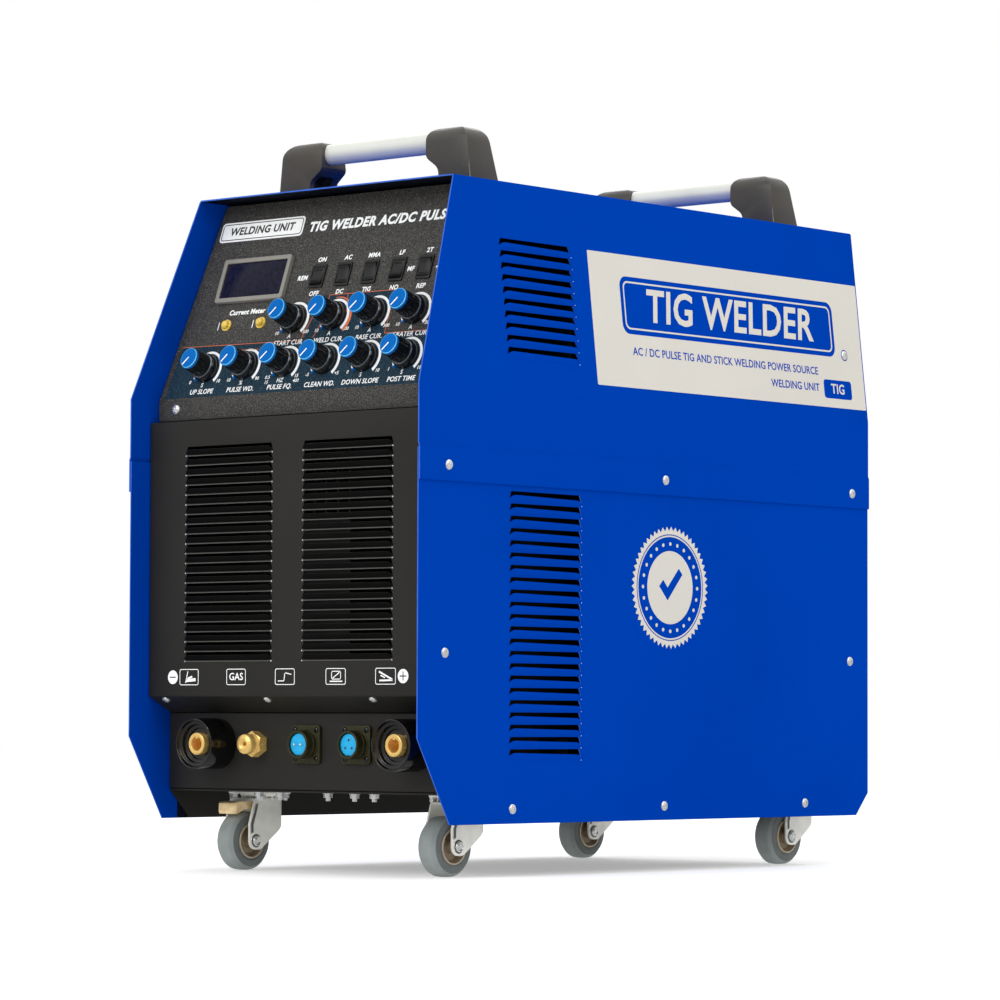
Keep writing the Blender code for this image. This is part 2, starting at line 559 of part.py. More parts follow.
def build_fan():
    """Axial fan behind the rear panel, with a guard outside it."""
    half = FAN_RADIUS + 0.004
    outer = rounded([(-half, -half, 0.010), (half, -half, 0.010), (half, half, 0.010),
                     (-half, half, 0.010)], 3)
    front, back = 0.0390, 0.0015  # behind the outside of the rear panel
    middle = shift(FAN_X, REAR_Y - (front + back) / 2, FAN_Z) @ UPRIGHT_XZ
    frame = place("fan_frame", drawn("fan_frame", [outer, circle(FAN_RADIUS - 0.001, 32)], front - back,
                                     middle), BLACK, MACHINE)
    at = shift(FAN_X, REAR_Y - front, FAN_Z)
    bm = bmesh.new()
    for quarter in range(4):
        turn = Matrix.Rotation((quarter + 0.5) * math.pi / 2, 4, "Y")
        add_box(bm, (0.0120, 0.0006, -0.0030), (FAN_RADIUS + 0.0020, 0.0036, 0.0030), at @ turn)
    boolean(frame, to_mesh(bm, "fan_stays"), "UNION")
    hub = at @ Matrix.Rotation(-math.pi / 2, 4, "X")
    boolean(frame, rods("fan_motor", 0.0220, 0.0002, 0.0080, [hub], 16), "UNION")

    axis = shift(FAN_X, REAR_Y - 0.0165, FAN_Z) @ ALONG_Y
    hub = rods("fan_rotor", 0.0270, -0.0120, 0.0125, [Matrix()], 18)
    rotor = place("fan_rotor", hub, BLACK, MACHINE, axis)
    bm = bmesh.new()
    for k in range(7):
        blade = Matrix.Rotation(2 * math.pi * k / 7, 4, "Z") @ Matrix.Rotation(math.radians(32), 4, "X")
        add_box(bm, (0.0240, -0.0165, -0.0010), (0.0755, 0.0165, 0.0010), blade)
    boolean(rotor, to_mesh(bm, "fan_blades"), "UNION")

    rings, spokes = (0.0180, 0.0380, 0.0590, 0.0800), 4
    loops = [circle(0.0830, 24)]
    for inner, outer in zip(rings, rings[1:]):
        for k in range(spokes):
            spread = [(inner + 0.003, 0.0035), (outer, 0.0035)]
            points = []
            for radius, margin in spread:
                start = k * math.tau / spokes + margin / radius
                end = (k + 1) * math.tau / spokes - margin / radius
                arc = [start + (end - start) * j / 4 for j in range(5)]
                arc = arc if radius < outer else arc[::-1]
                points += [(radius * math.cos(a), radius * math.sin(a)) for a in arc]
            loops.append(points)
    middle = shift(FAN_X, REAR_Y + GAP + 0.00125, FAN_Z)
    place("fan_guard", drawn("fan_guard", loops, 0.0025, middle @ UPRIGHT_XZ), ZINC, MACHINE)


def build_rear_fittings():
    nose = [((-0.0270, -0.0080, -0.0225), (0.0270, 0.0500, 0.0225))]
    at = shift(BREAKER_X, REAR_Y, BREAKER_Z)
    back = Matrix.Rotation(math.pi, 4, "Z")  # local y to the inside of the machine
    body = place("breaker_body", boxes("breaker_body", nose), BLACK, MACHINE, at @ back)
    case = [((-0.0270, 0.0060, -0.0400), (0.0270, 0.0650, 0.0400))]
    boolean(body, boxes("breaker_case", case), "UNION")
    slot = [((-0.0235, -0.0200, -0.0100), (0.0235, 0.0040, 0.0100))]
    boolean(body, boxes("lever_slot", slot), "DIFFERENCE")
    outline = [(-0.0165, 0.0022, 0.0015), (-0.0165, -0.0022, 0.0015), (0.0020, -0.0040, 0.002),
               (0.0040, 0.0, 0.002), (0.0020, 0.0040, 0.002)]
    tilt = Matrix.Rotation(math.radians(38), 4, "X")
    lever = drawn("breaker_lever", [rounded(outline, 2)], 0.0460, SIDE_YZ)
    place("breaker_lever", lever, GREY, MACHINE, at @ back @ shift(y=-0.0020) @ tilt)

    outward = Matrix.Rotation(-math.pi / 2, 4, "X")
    profile = [(0.0060, -0.0090), (0.0060, 0.0250), (0.0085, 0.0250), (0.0115, 0.0200), (0.0130, 0.0120),
               (0.0130, GAP), (0.0100, GAP), (0.0100, -0.0090)]
    gland = lathe("cable_gland", profile, 18, BLACK, MACHINE,
                  shift(GLAND_X, REAR_Y, GLAND_Z) @ outward, closed=True)
    hexagon = [circle(0.0150, 6), circle(0.0095, 12)]
    boolean(gland, drawn("gland_hex", hexagon, 0.0060, shift(z=GAP + 0.0030)), "UNION")
    profile = [(0.0, 0.0080), (0.0020, 0.0080), (0.0020, 0.0240), (0.0040, 0.0240), (0.0052, 0.0200),
               (0.0040, 0.0195), (0.0052, 0.0150), (0.0040, 0.0145), (0.0040, 0.0080), (0.0070, 0.0070),
               (0.0070, GAP), (0.0050, GAP), (0.0050, -0.0160), (0.0, -0.0160)]
    inlet = lathe("gas_inlet", profile, 16, BRASS, MACHINE, shift(INLET_X, REAR_Y, INLET_Z) @ outward)
    boolean(inlet, rods("inlet_hex", 0.0092, GAP, 0.0060, [Matrix()], 6), "UNION")


def build_inside():
    """The heavy parts that stand on the base tray, and the board behind the control panel."""
    floor = FLOOR_Z + GAP
    comb = [(-0.1350, floor), (-0.0150, floor)]
    fins, pitch = 9, 0.0135
    for k in range(fins):
        right = -0.0150 - k * pitch
        comb += [(right, 0.3200), (right - 0.0025, 0.3200)]
        if k < fins - 1:
            comb += [(right - 0.0025, 0.2600), (right - pitch, 0.2600)]
    comb += [(comb[-1][0], 0.2500), (-0.1350, 0.2500)]
    mesh = drawn("heat_sink", [comb], 0.2600, shift(y=0.2450) @ UPRIGHT_XZ)
    place("heat_sink", mesh, ALUMINIUM, MACHINE)
    core = boxes("transformer", [((0.0300, 0.2300, floor), (0.1300, 0.3400, 0.1450))])
    core = place("transformer", core, COPPER, MACHINE)
    boolean(core, boxes("winding", [((0.0450, 0.2100, 0.0450), (0.1150, 0.3600, 0.1300))]), "UNION")
    board = boxes("control_board", [((-0.1350, -0.0100, -0.0266), (0.1350, 0.1350, -0.0250))])
    board = place("control_board", board, GREEN, MACHINE, on_panel(0.0, 0.0))
    boolean(board, boxes("board_parts", [((-0.1200, 0.0850, -0.0400), (-0.0500, 0.1300, -0.0260)),
                                         ((0.0100, 0.0200, -0.0420), (0.0900, 0.0700, -0.0260))]), "UNION")
    valve = boxes("gas_valve", [((0.0980, 0.5300, floor), (0.1220, 0.5660, 0.0850))])
    valve = place("gas_valve", valve, BRASS, MACHINE)
    boolean(valve, rods("valve_coil", 0.0130, 0.0800, 0.1250, [shift(0.1100, 0.5450)], 16), "UNION")


clear_scene()
PARTS = new_collection("tig_welding_machine")
CUTTERS = new_collection("cutters")
MACHINE = bpy.data.objects.new("machine_frame", None)
PARTS.objects.link(MACHINE)
MACHINE.location = (0.0, -DEPTH / 2, CLEARANCE)

build_upper_cover()
build_lower_cover("lower_cover_left", -1)
build_lower_cover("lower_cover_right", 1)
build_base_tray()
build_control_panel()
build_vent_panel()
build_connector_panel()
build_rear_panel()
for where, front in HANDLE_FRONTS.items():
    build_handle(where, front)
for castor, (side, y) in CASTORS.items():
    build_castor(castor, side, y)
build_brake_pedal()
for row, (count, x0, s) in zip(("lower", "upper"), KNOB_ROWS):
    for k in range(count):
        build_knob(f"knob_{row}_{k + 1}", x0 + k * KNOB_PITCH, s)
for k, (x, tip) in enumerate(SWITCHES):
    build_switch(f"rocker_switch_{k + 1}", x, tip)
build_meter()
build_sockets()
build_fan()
build_rear_fittings()
build_inside()
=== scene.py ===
"""Visible finish of a TIG welding machine on castors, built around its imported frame.

Every piece is drawn in the machine frame: x to the right seen from the front, y back from the front
edge of the covers, z up from the bottom edge of the side covers. put() carries it to its place.
"""

import math

import bmesh
import bpy
from mathutils import Matrix, Vector


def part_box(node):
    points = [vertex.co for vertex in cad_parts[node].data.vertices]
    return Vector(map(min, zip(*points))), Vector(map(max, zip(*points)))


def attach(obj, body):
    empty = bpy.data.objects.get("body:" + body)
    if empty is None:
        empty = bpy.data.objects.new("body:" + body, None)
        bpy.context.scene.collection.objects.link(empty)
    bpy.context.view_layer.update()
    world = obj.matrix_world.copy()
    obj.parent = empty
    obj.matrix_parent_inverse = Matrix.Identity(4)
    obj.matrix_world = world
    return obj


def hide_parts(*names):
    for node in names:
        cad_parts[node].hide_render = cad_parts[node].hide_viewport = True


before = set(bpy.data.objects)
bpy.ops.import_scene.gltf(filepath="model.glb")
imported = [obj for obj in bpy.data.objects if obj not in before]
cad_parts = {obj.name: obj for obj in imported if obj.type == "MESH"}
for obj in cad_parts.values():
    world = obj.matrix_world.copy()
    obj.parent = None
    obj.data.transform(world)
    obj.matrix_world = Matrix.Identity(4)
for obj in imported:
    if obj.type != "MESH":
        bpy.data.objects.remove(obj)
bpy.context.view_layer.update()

bl_info = {
    "name": "TIG welding machine finish",
    "version": (1, 0, 0),
    "blender": (4, 5, 0),
    "location": "View3D > Sidebar > Welder",
    "description": "Builds the visible pieces of a TIG welding machine around its packed frame",
    "category": "Object",
}

# The machine frame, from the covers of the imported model
FRONT_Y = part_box("upper_cover")[0].y
SKIRT_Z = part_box("lower_cover_left")[0].z
MACHINE = Matrix.Translation((0.0, FRONT_Y, SKIRT_Z))

# Covers
DEPTH = 0.616
HALF_WALL, HALF_TOP, HALF_LOWER, HALF_LAP = 0.165, 0.1455, 0.1644, 0.166
TOP_Z, BEND_Z, JOG_Z, SEAM_Z = 0.532, 0.357, 0.308, 0.278
NOSE_Y, NOSE_Z, TAIL_Y, TAIL_Z = 0.040, 0.070, 0.018, 0.020
FRONT_RISE = 0.36
SLOPE_LENGTH = math.hypot(1.0, FRONT_RISE)
LEAN = (HALF_WALL - HALF_TOP) / (TOP_Z - BEND_Z)
SHEET, SHEET_EDGE = 0.0012, 0.0003
SIDE_SLOTS = (0.115, 0.203)
SIDE_PITCH = 0.0101
SLOT_TALL, SLOT_FLARE = 0.0062, 0.0022
INNER_Y = 0.085  # behind the panel's foot, the roof's underside is out of the light
UPPER_SLOTS, UPPER_SLOT_Z = 10, 0.4833
LOWER_SLOTS, LOWER_SLOT_Z = 22, 0.2730
LAP_SCREWS = ((0.0354, 0.291), (0.3174, 0.291), (0.5896, 0.291))
LOWER_SCREWS = ((0.033, 0.139), (0.588, 0.139), (0.1177, 0.012), (0.318, 0.012), (0.520, 0.012))
WALL_SCREW = (0.588, 0.417)

# Front
HALF_FRONT = 0.1623
PANEL_Y = 0.032
PANEL_TILT = math.atan2(1.0, FRONT_RISE)
VENT_Y, VENT_TOP_Z, VENT_FOOT_Z = 0.022, 0.338, 0.104
VENT_SLOTS, VENT_SLOT_Z, VENT_PITCH = 22, 0.3155, 0.0083
VENT_TALL, VENT_FLARE = 0.0056, 0.0018
VENT_COLUMNS = ((-0.1175, -0.0200), (0.0185, 0.1155))
PORT_Y, PORT_TOP_Z, PORT_ROW_Z = 0.048, 0.0905, 0.064
FLOOR_Z, UNDER_Z = 0.0252, 0.0237
REAR_Y = 0.588
SHADE_BAFFLE_X = 0.139

# Controls: x along the panel, s up its slope from the bend
KNOB_PITCH = 0.0457
KNOB_ROWS = {"lower": (6, -0.1140, 0.0275), "upper": (4, -0.0253, 0.0680)}
SWITCHES = ((-0.0103, -1), (0.0190, 1), (0.0495, 1), (0.0800, -1), (0.1105, 1))
SWITCH_S = 0.1070
ROCKER_TIP, LEVER_TIP = 7.0, 38.0  # degrees from level at rest
NAME_X, NAME_S = -0.0920, 0.1570
LAMPS = (-0.1045, -0.0640)
POINTER_ANGLE = 229  # degrees, all ten knobs
METER_X, METER_S, METER_WIDE, METER_TALL = -0.0835, 0.1085, 0.0790, 0.0405

# Connectors, castors, handles, rear
SOCKETS = {"negative": -0.105, "positive": 0.119}
GAS_OUTLET_X = -0.0575
ROUND_PLUGS = {"torch": (-0.0005, 2), "remote": (0.056, 3)}
CASTOR_X, CASTOR_TRAIL, WHEEL_RADIUS = 0.115, 0.020, 0.025
CASTORS = {"front_left": (-1, 0.110), "front_right": (1, 0.110), "rear_left": (-1, 0.566),
           "rear_right": (1, 0.566)}
AXLE_DROP = UNDER_Z + SKIRT_Z - WHEEL_RADIUS
HANDLES = {"front": 0.1245, "rear": 0.546}
TUBE_RADIUS, TUBE_BACK, TUBE_Z = 0.009, 0.013, 0.572
FAN_X, FAN_Z, FAN_RADIUS = 0.0, 0.205, 0.079
REAR_SCREWS = ((0.150, 0.045), (0.150, 0.200), (0.150, 0.340), (0.132, 0.515))
BREAKER_X, BREAKER_Z = 0.070, 0.425
GLAND_X, INLET_X, FITTING_Z = -0.105, 0.110, 0.072

FORWARD = Matrix.Rotation(math.pi / 2, 4, "X")  # local z to the front, local y up
BACKWARD = Matrix.Rotation(math.pi, 4, "Z") @ FORWARD
ALONG_X = Matrix.Rotation(math.pi / 2, 4, "Y")
SIDE_YZ = Matrix(((0, 0, 1, 0), (1, 0, 0, 0), (0, 1, 0, 0), (0, 0, 0, 1)))
UPRIGHT_XZ = Matrix(((1, 0, 0, 0), (0, 0, -1, 0), (0, 1, 0, 0), (0, 0, 0, 1)))
PRINT, LABEL, FILM = 0.00012, 0.00014, 0.00022  # thickness of printed marks, labels and film
LABEL_GAP = 0.00004  # between a panel and what is stuck on it
FILM_TOP, ZONE_TOP, NAME_TOP = 0.00025, 0.00031, 0.00055  # heights above the control panel
EPS = 1e-6

# Stage
FLOOR_RADIUS, FLOOR_GLOW = 14.0, 0.35
LIGHTS = (("key", (2.4, -0.9, 2.0), (0.0, 0.0, 0.3), 1.4, 15.0),  # place, aim, size, watts
          ("front", (-0.4, -3.2, 1.9), (0.0, -0.2, 0.3), 1.6, 33.0),
          ("above", (0.2, 0.2, 2.8), (0.0, 0.0, 0.3), 2.2, 20.0),
          ("back", (-2.2, 2.4, 2.2), (0.0, 0.0, 0.3), 2.0, 14.0))
CAMERA_AT = (2.426, -2.846, 0.130)
CAMERA_ANGLES = (40.6, 2.95, 0.21)  # azimuth, pitch and roll, in degrees
SENSOR = 36.0


# ---------------------------------------------------------------- finishes

def scaled(colour, factor):
    return [min(1.0, c * factor) for c in colour]


def add_noise(tree, where, scale, detail=2.0):
    node = tree.nodes.new("ShaderNodeTexNoise")
    node.inputs["Scale"].default_value = scale
    node.inputs["Detail"].default_value = detail
    tree.links.new(where, node.inputs["Vector"])
    return node.outputs["Fac"]


def add_range(tree, value, low, high, to_low=0.0, to_high=1.0):
    node = tree.nodes.new("ShaderNodeMapRange")
    for socket, number in (("From Min", low), ("From Max", high), ("To Min", to_low),
                           ("To Max", to_high)):
        node.inputs[socket].default_value = number
    tree.links.new(value, node.inputs["Value"])
    return node.outputs["Result"]


def add_mix(tree, factor, first, second):
    node = tree.nodes.new("ShaderNodeMix")
    node.data_type = "RGBA"
    tree.links.new(factor, node.inputs[0])
    for socket, colour in ((node.inputs[6], first), (node.inputs[7], second)):
        if isinstance(colour, bpy.types.NodeSocket):
            tree.links.new(colour, socket)
        else:
            socket.default_value = (*colour, 1.0)
    return node.outputs[2]


def finish(name, colour, rough, metallic=0.0, grain=(900.0, 6e-6), mottle=(14.0, 0.06),
           stretch=(1.0, 1.0, 1.0), speck=None, wear=0.0, coat=0.0, tint=None, sheen=0.5,
           shade=1.0):
    """A surface with fine grain in relief, slow colour and gloss changes, and optional specks
    and wear. grain is (scale, depth), mottle is (scale, strength), speck is (scale, threshold,
    colour)."""
    name = f"{name}_finish"
    found = bpy.data.materials.get(name)
    if found:
        return found
    material = bpy.data.materials.new(name)
    material.use_nodes = True
    tree = material.node_tree
    colour = scaled(colour, shade)
    shader = tree.nodes["Principled BSDF"]
    shader.inputs["Metallic"].default_value = metallic
    shader.inputs["Specular IOR Level"].default_value = sheen
    shader.inputs["Coat Weight"].default_value = coat
    shader.inputs["Coat Roughness"].default_value = 0.08
    coords = tree.nodes.new("ShaderNodeTexCoord")
    mapping = tree.nodes.new("ShaderNodeMapping")
    mapping.inputs["Scale"].default_value = stretch
    tree.links.new(coords.outputs["Object"], mapping.inputs["Vector"])
    where, plain = mapping.outputs["Vector"], coords.outputs["Object"]
    broad = add_noise(tree, plain, mottle[0], 4.0)
    fine = add_noise(tree, where, grain[0], 3.0)
    paint = add_mix(tree, add_range(tree, broad, 0.3, 0.7), scaled(colour, 1 - mottle[1]),
                    tint or scaled(colour, 1 + mottle[1]))
    if speck:
        scale, threshold, dot = speck
        dots = add_range(tree, add_noise(tree, plain, scale, 1.0), threshold, threshold + 0.07)
        paint = add_mix(tree, dots, paint, dot)
    gloss = add_range(tree, broad, 0.3, 0.7, *rough)
    if wear:
        rubbed = add_range(tree, add_noise(tree, plain, 55.0, 8.0), 0.60, 0.72, 0.0, wear)
        paint = add_mix(tree, rubbed, paint, scaled(colour, 1.6))
        add = tree.nodes.new("ShaderNodeMath")
        tree.links.new(gloss, add.inputs[0])
        tree.links.new(rubbed, add.inputs[1])
        gloss = add.outputs[0]
    tree.links.new(paint, shader.inputs["Base Color"])
    tree.links.new(gloss, shader.inputs["Roughness"])
    bump = tree.nodes.new("ShaderNodeBump")
    bump.inputs["Strength"].default_value = 1.0
    bump.inputs["Distance"].default_value = grain[1]
    tree.links.new(fine, bump.inputs["Height"])
    tree.links.new(bump.outputs["Normal"], shader.inputs["Normal"])
    return material


# A colour given as text is one of the settings.
LOOKS = {
    "blue_enamel": ("welder_covers.enamel", (0.34, 0.42), dict(
        grain=(420.0, 1.2e-5), mottle=(5.0, 0.05), sheen=0.0)),
    # painted shade: the covers' inner faces, darkened where light does not reach
    "shaded_blue": ((0.002, 0.004, 0.014), (0.6, 0.7), dict(
        grain=(420.0, 1.2e-5), mottle=(12.0, 0.2), sheen=0.1)),
    # painted highlight: a lighter blue on the covers' front edges
    "edge_blue": ((0.022, 0.110, 0.56), (0.30, 0.40), dict(
        grain=(420.0, 1.2e-5), mottle=(60.0, 0.20))),
    "black_enamel": ("welder_panels.black", (0.42, 0.55), dict(
        grain=(1500.0, 1.0e-5), mottle=(9.0, 0.12), wear=0.05, sheen=0.26)),
    # painted shade: near-black for hood undersides, the vent panel's inside and the baffles
    "louvre_black": ((0.0035, 0.0035, 0.0032), (0.42, 0.55), dict(
        grain=(1500.0, 1.0e-5), mottle=(30.0, 0.2), sheen=0.06)),
    "film_grey": ("welder_panels.film", (0.50, 0.62), dict(
        grain=(1900.0, 1.6e-5), mottle=(20.0, 0.08), speck=(1300.0, 0.56, (0.15, 0.145, 0.135)),
        sheen=0.25)),
    "zone_grey": ("welder_panels.zone", (0.50, 0.62), dict(
        grain=(1900.0, 1.6e-5), mottle=(20.0, 0.10), speck=(1300.0, 0.60, (0.06, 0.11, 0.14)),
        sheen=0.10)),
    "white_ink": ((0.94, 0.95, 0.95), (0.5, 0.6), dict(
        grain=(2500.0, 4e-6), mottle=(300.0, 0.04))),
    "orange_ink": ((0.72, 0.16, 0.05), (0.5, 0.6), dict(
        grain=(2500.0, 4e-6), mottle=(300.0, 0.10))),
    # print, and the painted shade round the castor axle nuts
    "dark_ink": ((0.03, 0.03, 0.03), (0.5, 0.6), dict(grain=(2500.0, 4e-6), mottle=(300.0, 0.10))),
    "bright_zinc": ((0.90, 0.91, 0.90), (0.18, 0.30), dict(
        metallic=0.75, grain=(700.0, 8e-6), mottle=(90.0, 0.10))),
    "zinc_plate": ((0.92, 0.92, 0.86), (0.28, 0.42), dict(
        metallic=0.12, grain=(260.0, 1.6e-5), mottle=(70.0, 0.10), wear=0.10,
        tint=(0.98, 0.97, 0.88))),
    "shaded_zinc": ((0.13, 0.13, 0.12), (0.30, 0.45), dict(
        metallic=0.4, grain=(500.0, 1.2e-5), mottle=(90.0, 0.15))),
    "handle_plastic": ("welder_fittings.handle", (0.24, 0.34), dict(
        grain=(1700.0, 1.4e-5), mottle=(30.0, 0.10), wear=0.04, tint=(0.050, 0.041, 0.031),
        sheen=0.7)),
    # painted highlight: the light line on each handle bracket's front outer edge
    "moulding_line": ((0.34, 0.32, 0.28), (0.2, 0.3), dict(
        grain=(1700.0, 1.0e-5), mottle=(120.0, 0.25))),
    "satin_aluminium": ((0.80, 0.81, 0.75), (0.34, 0.42), dict(
        metallic=0.35, grain=(900.0, 1.0e-5), mottle=(25.0, 0.03), stretch=(0.05, 1.0, 1.0))),
    "gloss_black": ((0.003, 0.003, 0.003), (0.07, 0.16), dict(
        grain=(600.0, 5e-6), mottle=(40.0, 0.15), sheen=0.65)),
    "matt_black": ((0.010, 0.010, 0.010), (0.34, 0.46), dict(
        grain=(1800.0, 8e-6), mottle=(50.0, 0.12), sheen=0.35)),
    "knob_black": ((0.0045, 0.0052, 0.0062), (0.18, 0.26), dict(
        grain=(900.0, 3e-6), mottle=(60.0, 0.12), sheen=0.45)),
    "knob_blue": ("welder_controls.cap", (0.26, 0.34), dict(
        grain=(1500.0, 5e-6), mottle=(120.0, 0.04), sheen=0.06)),
    "knob_ring": ((0.16, 0.19, 0.22), (0.20, 0.3), dict(
        metallic=0.8, grain=(1500.0, 5e-6), mottle=(120.0, 0.1))),
    # painted highlight: the lighter ring on a knob cap's chamfer
    "knob_edge": ((0.10, 0.46, 0.80), (0.12, 0.20), dict(
        grain=(1500.0, 5e-6), mottle=(120.0, 0.06), coat=0.6)),
    # painted highlight: the light line along each vent louvre's lower edge
    "louvre_edge": ((0.085, 0.082, 0.075), (0.28, 0.4), dict(
        grain=(1500.0, 1.0e-5), mottle=(30.0, 0.12))),
    # painted highlight: small glints at the louvres' corners
    "bare_edge": ((0.60, 0.62, 0.64), (0.3, 0.5), dict(
        grain=(1500.0, 1.0e-5), mottle=(600.0, 0.30))),
    "insert_blue": ("welder_fittings.insert", (0.40, 0.50), dict(
        grain=(1500.0, 6e-6), mottle=(200.0, 0.05))),
    "brass": ((0.97, 0.63, 0.20), (0.18, 0.30), dict(
        metallic=0.50, grain=(500.0, 8e-6), mottle=(80.0, 0.08), stretch=(1.0, 0.15, 1.0))),
    "olive_shell": ((0.040, 0.038, 0.013), (0.24, 0.36), dict(
        metallic=0.5, grain=(1300.0, 8e-6), mottle=(120.0, 0.16), wear=0.10)),
    "grey_tyre": ("welder_castors.tyre", (0.55, 0.72), dict(
        grain=(1100.0, 1.5e-5), mottle=(60.0, 0.12), wear=0.12)),
    "hub_bronze": ("welder_castors.hub", (0.30, 0.45), dict(
        metallic=0.35, grain=(900.0, 1e-5), mottle=(160.0, 0.22), wear=0.10)),
    "rim_bronze": ((0.52, 0.45, 0.34), (0.28, 0.4), dict(
        metallic=0.3, grain=(900.0, 1e-5), mottle=(160.0, 0.12))),
    "tyre_wall": ("welder_castors.tyre", (0.45, 0.6), dict(
        grain=(1100.0, 1.5e-5), mottle=(80.0, 0.14), wear=0.08, shade=0.55)),
    "yellow_zinc": ((0.85, 0.58, 0.26), (0.35, 0.5), dict(
        metallic=0.10, grain=(700.0, 1.4e-5), mottle=(160.0, 0.16), tint=(0.98, 0.78, 0.45))),
    "led_gold": ((0.74, 0.50, 0.07), (0.10, 0.20), dict(
        grain=(500.0, 3e-5), mottle=(500.0, 0.30), coat=0.8)),
    "meter_grey": ((0.235, 0.225, 0.200), (0.42, 0.5), dict(
        grain=(1600.0, 1e-5), mottle=(60.0, 0.06))),
    "meter_glass": ((0.010, 0.010, 0.024), (0.16, 0.26), dict(
        grain=(60.0, 1e-5), mottle=(260.0, 0.5), stretch=(1.0, 0.05, 0.05),
        tint=(0.012, 0.012, 0.034), sheen=0.14)),
    # aluminium darkened to near black: painted shade inside the case
    "raw_aluminium": ((0.06, 0.06, 0.06), (0.45, 0.6), dict(
        metallic=0.9, grain=(500.0, 1.4e-5), mottle=(30.0, 0.06), stretch=(1.0, 0.05, 1.0))),
    # copper darkened: painted shade inside the case
    "copper_windings": ((0.040, 0.020, 0.011), (0.35, 0.5), dict(
        metallic=0.5, grain=(500.0, 6e-5), mottle=(90.0, 0.16), stretch=(0.1, 0.1, 1.0))),
    "green_board": ((0.015, 0.11, 0.045), (0.35, 0.5), dict(
        grain=(700.0, 1.5e-5), mottle=(150.0, 0.25), speck=(420.0, 0.66, (0.45, 0.42, 0.30)))),
    "label_grey": ("welder_covers.label", (0.42, 0.52), dict(
        grain=(1600.0, 4e-6), mottle=(7.0, 0.03))),
}


def look_of(name):
    """The finish of that name in LOOKS, made on its first use."""
    colour, rough, extra = LOOKS[name]
    if isinstance(colour, str):
        group, prop = colour.split(".")
        colour = getattr(getattr(bpy.context.scene, group), prop)
    return finish(name, colour, rough, **extra)


# ---------------------------------------------------------------- shapes

def shift(x=0.0, y=0.0, z=0.0):
    return Matrix.Translation((x, y, z))


def turn(angle, axis="Z"):
    return Matrix.Rotation(angle, 4, axis)


def rounded(corners, steps=5):
    """Corner points (u, v) or (u, v, radius), with each radius drawn as an arc."""
    points = []
    for i, corner in enumerate(corners):
        here = Vector(corner[:2])
        if len(corner) == 2:
            points.append(here)
            continue
        before = (Vector(corners[i - 1][:2]) - here).normalized()
        after = (Vector(corners[(i + 1) % len(corners)][:2]) - here).normalized()
        half = before.angle(after) / 2
        centre = here + (before + after).normalized() * corner[2] / math.sin(half)
        first = here + before * corner[2] / math.tan(half) - centre
        last = here + after * corner[2] / math.tan(half) - centre
        sweep = first.angle_signed(last)
        points += [centre + Matrix.Rotation(-sweep * k / steps, 2) @ first
                   for k in range(steps + 1)]
    return points


def rectangle(wide, tall, radius=0.0, u=0.0, v=0.0, steps=4):
    signs = ((-1, -1), (1, -1), (1, 1), (-1, 1))
    corners = [(u + a * wide / 2, v + b * tall / 2, *([radius] if radius else []))
               for a, b in signs]
    return rounded(corners, steps)


def circle(radius, sides=32, u=0.0, v=0.0):
    return [(u + radius * math.cos(math.tau * k / sides),
             v + radius * math.sin(math.tau * k / sides)) for k in range(sides)]


def arc_band(inner, outer_start, outer_end, start, end, steps=32):
    """A flat band along an arc whose outer edge runs from one radius to another."""
    turns = [k / steps for k in range(steps + 1)]
    points = []
    for t in turns:
        a, r = math.radians(start + (end - start) * t), outer_start + (outer_end - outer_start) * t
        points.append((r * math.cos(a), r * math.sin(a)))
    for t in reversed(turns):
        a = math.radians(start + (end - start) * t)
        points.append((inner * math.cos(a), inner * math.sin(a)))
    return points


def joined(meshes):
    """Several bmeshes as one. The given ones are freed."""
    whole = bmesh.new()
    for bm in meshes:
        step = bpy.data.meshes.new("step")
        bm.to_mesh(step)
        bm.free()
        whole.from_mesh(step)
        bpy.data.meshes.remove(step)
    return whole


def moved(bm, matrix):
    bmesh.ops.transform(bm, matrix=matrix, verts=bm.verts)
    return bm


def copies(bm, matrices):
    made = [moved(bm.copy(), matrix) for matrix in matrices]
    bm.free()
    return joined(made)


def evaluated(obj):
    """A temporary object with its modifiers, as a bmesh. The object is removed."""
    bpy.context.view_layer.update()
    mesh = bpy.data.meshes.new_from_object(obj.evaluated_get(bpy.context.evaluated_depsgraph_get()))
    bm = bmesh.new()
    bm.from_mesh(mesh)
    data, kind = obj.data, obj.type
    bpy.data.meshes.remove(mesh)
    bpy.data.objects.remove(obj, do_unlink=True)
    (bpy.data.meshes if kind == "MESH" else bpy.data.curves).remove(data)
    return bm


def temporary(bm, name="step"):
    mesh = bpy.data.meshes.new(name)
    bm.to_mesh(mesh)
    bm.free()
    obj = bpy.data.objects.new(name, mesh)
    bpy.context.scene.collection.objects.link(obj)
    return obj


def placed(bm, matrix=None):
    """Doubles merged, carried to its place if one is given, normals outward."""
    bmesh.ops.remove_doubles(bm, verts=bm.verts, dist=EPS)
    if matrix is not None:
        moved(bm, matrix)
    bmesh.ops.recalc_face_normals(bm, faces=bm.faces)
    return bm


def plate(loops, thickness, matrix=None):
    """A flat outline with holes, as thick as said, standing on its plane towards local z."""
    curve = bpy.data.curves.new("outline", "CURVE")
    curve.dimensions = "2D"
    curve.fill_mode = "BOTH"
    curve.extrude = thickness / 2
    for loop in loops:
        spline = curve.splines.new("POLY")
        spline.points.add(len(loop) - 1)
        for point, (u, v) in zip(spline.points, loop):
            point.co = (u, v, 0.0, 1.0)
        spline.use_cyclic_u = True
    obj = bpy.data.objects.new("outline", curve)
    bpy.context.scene.collection.objects.link(obj)
    return placed(evaluated(obj), (matrix or Matrix()) @ shift(z=thickness / 2))


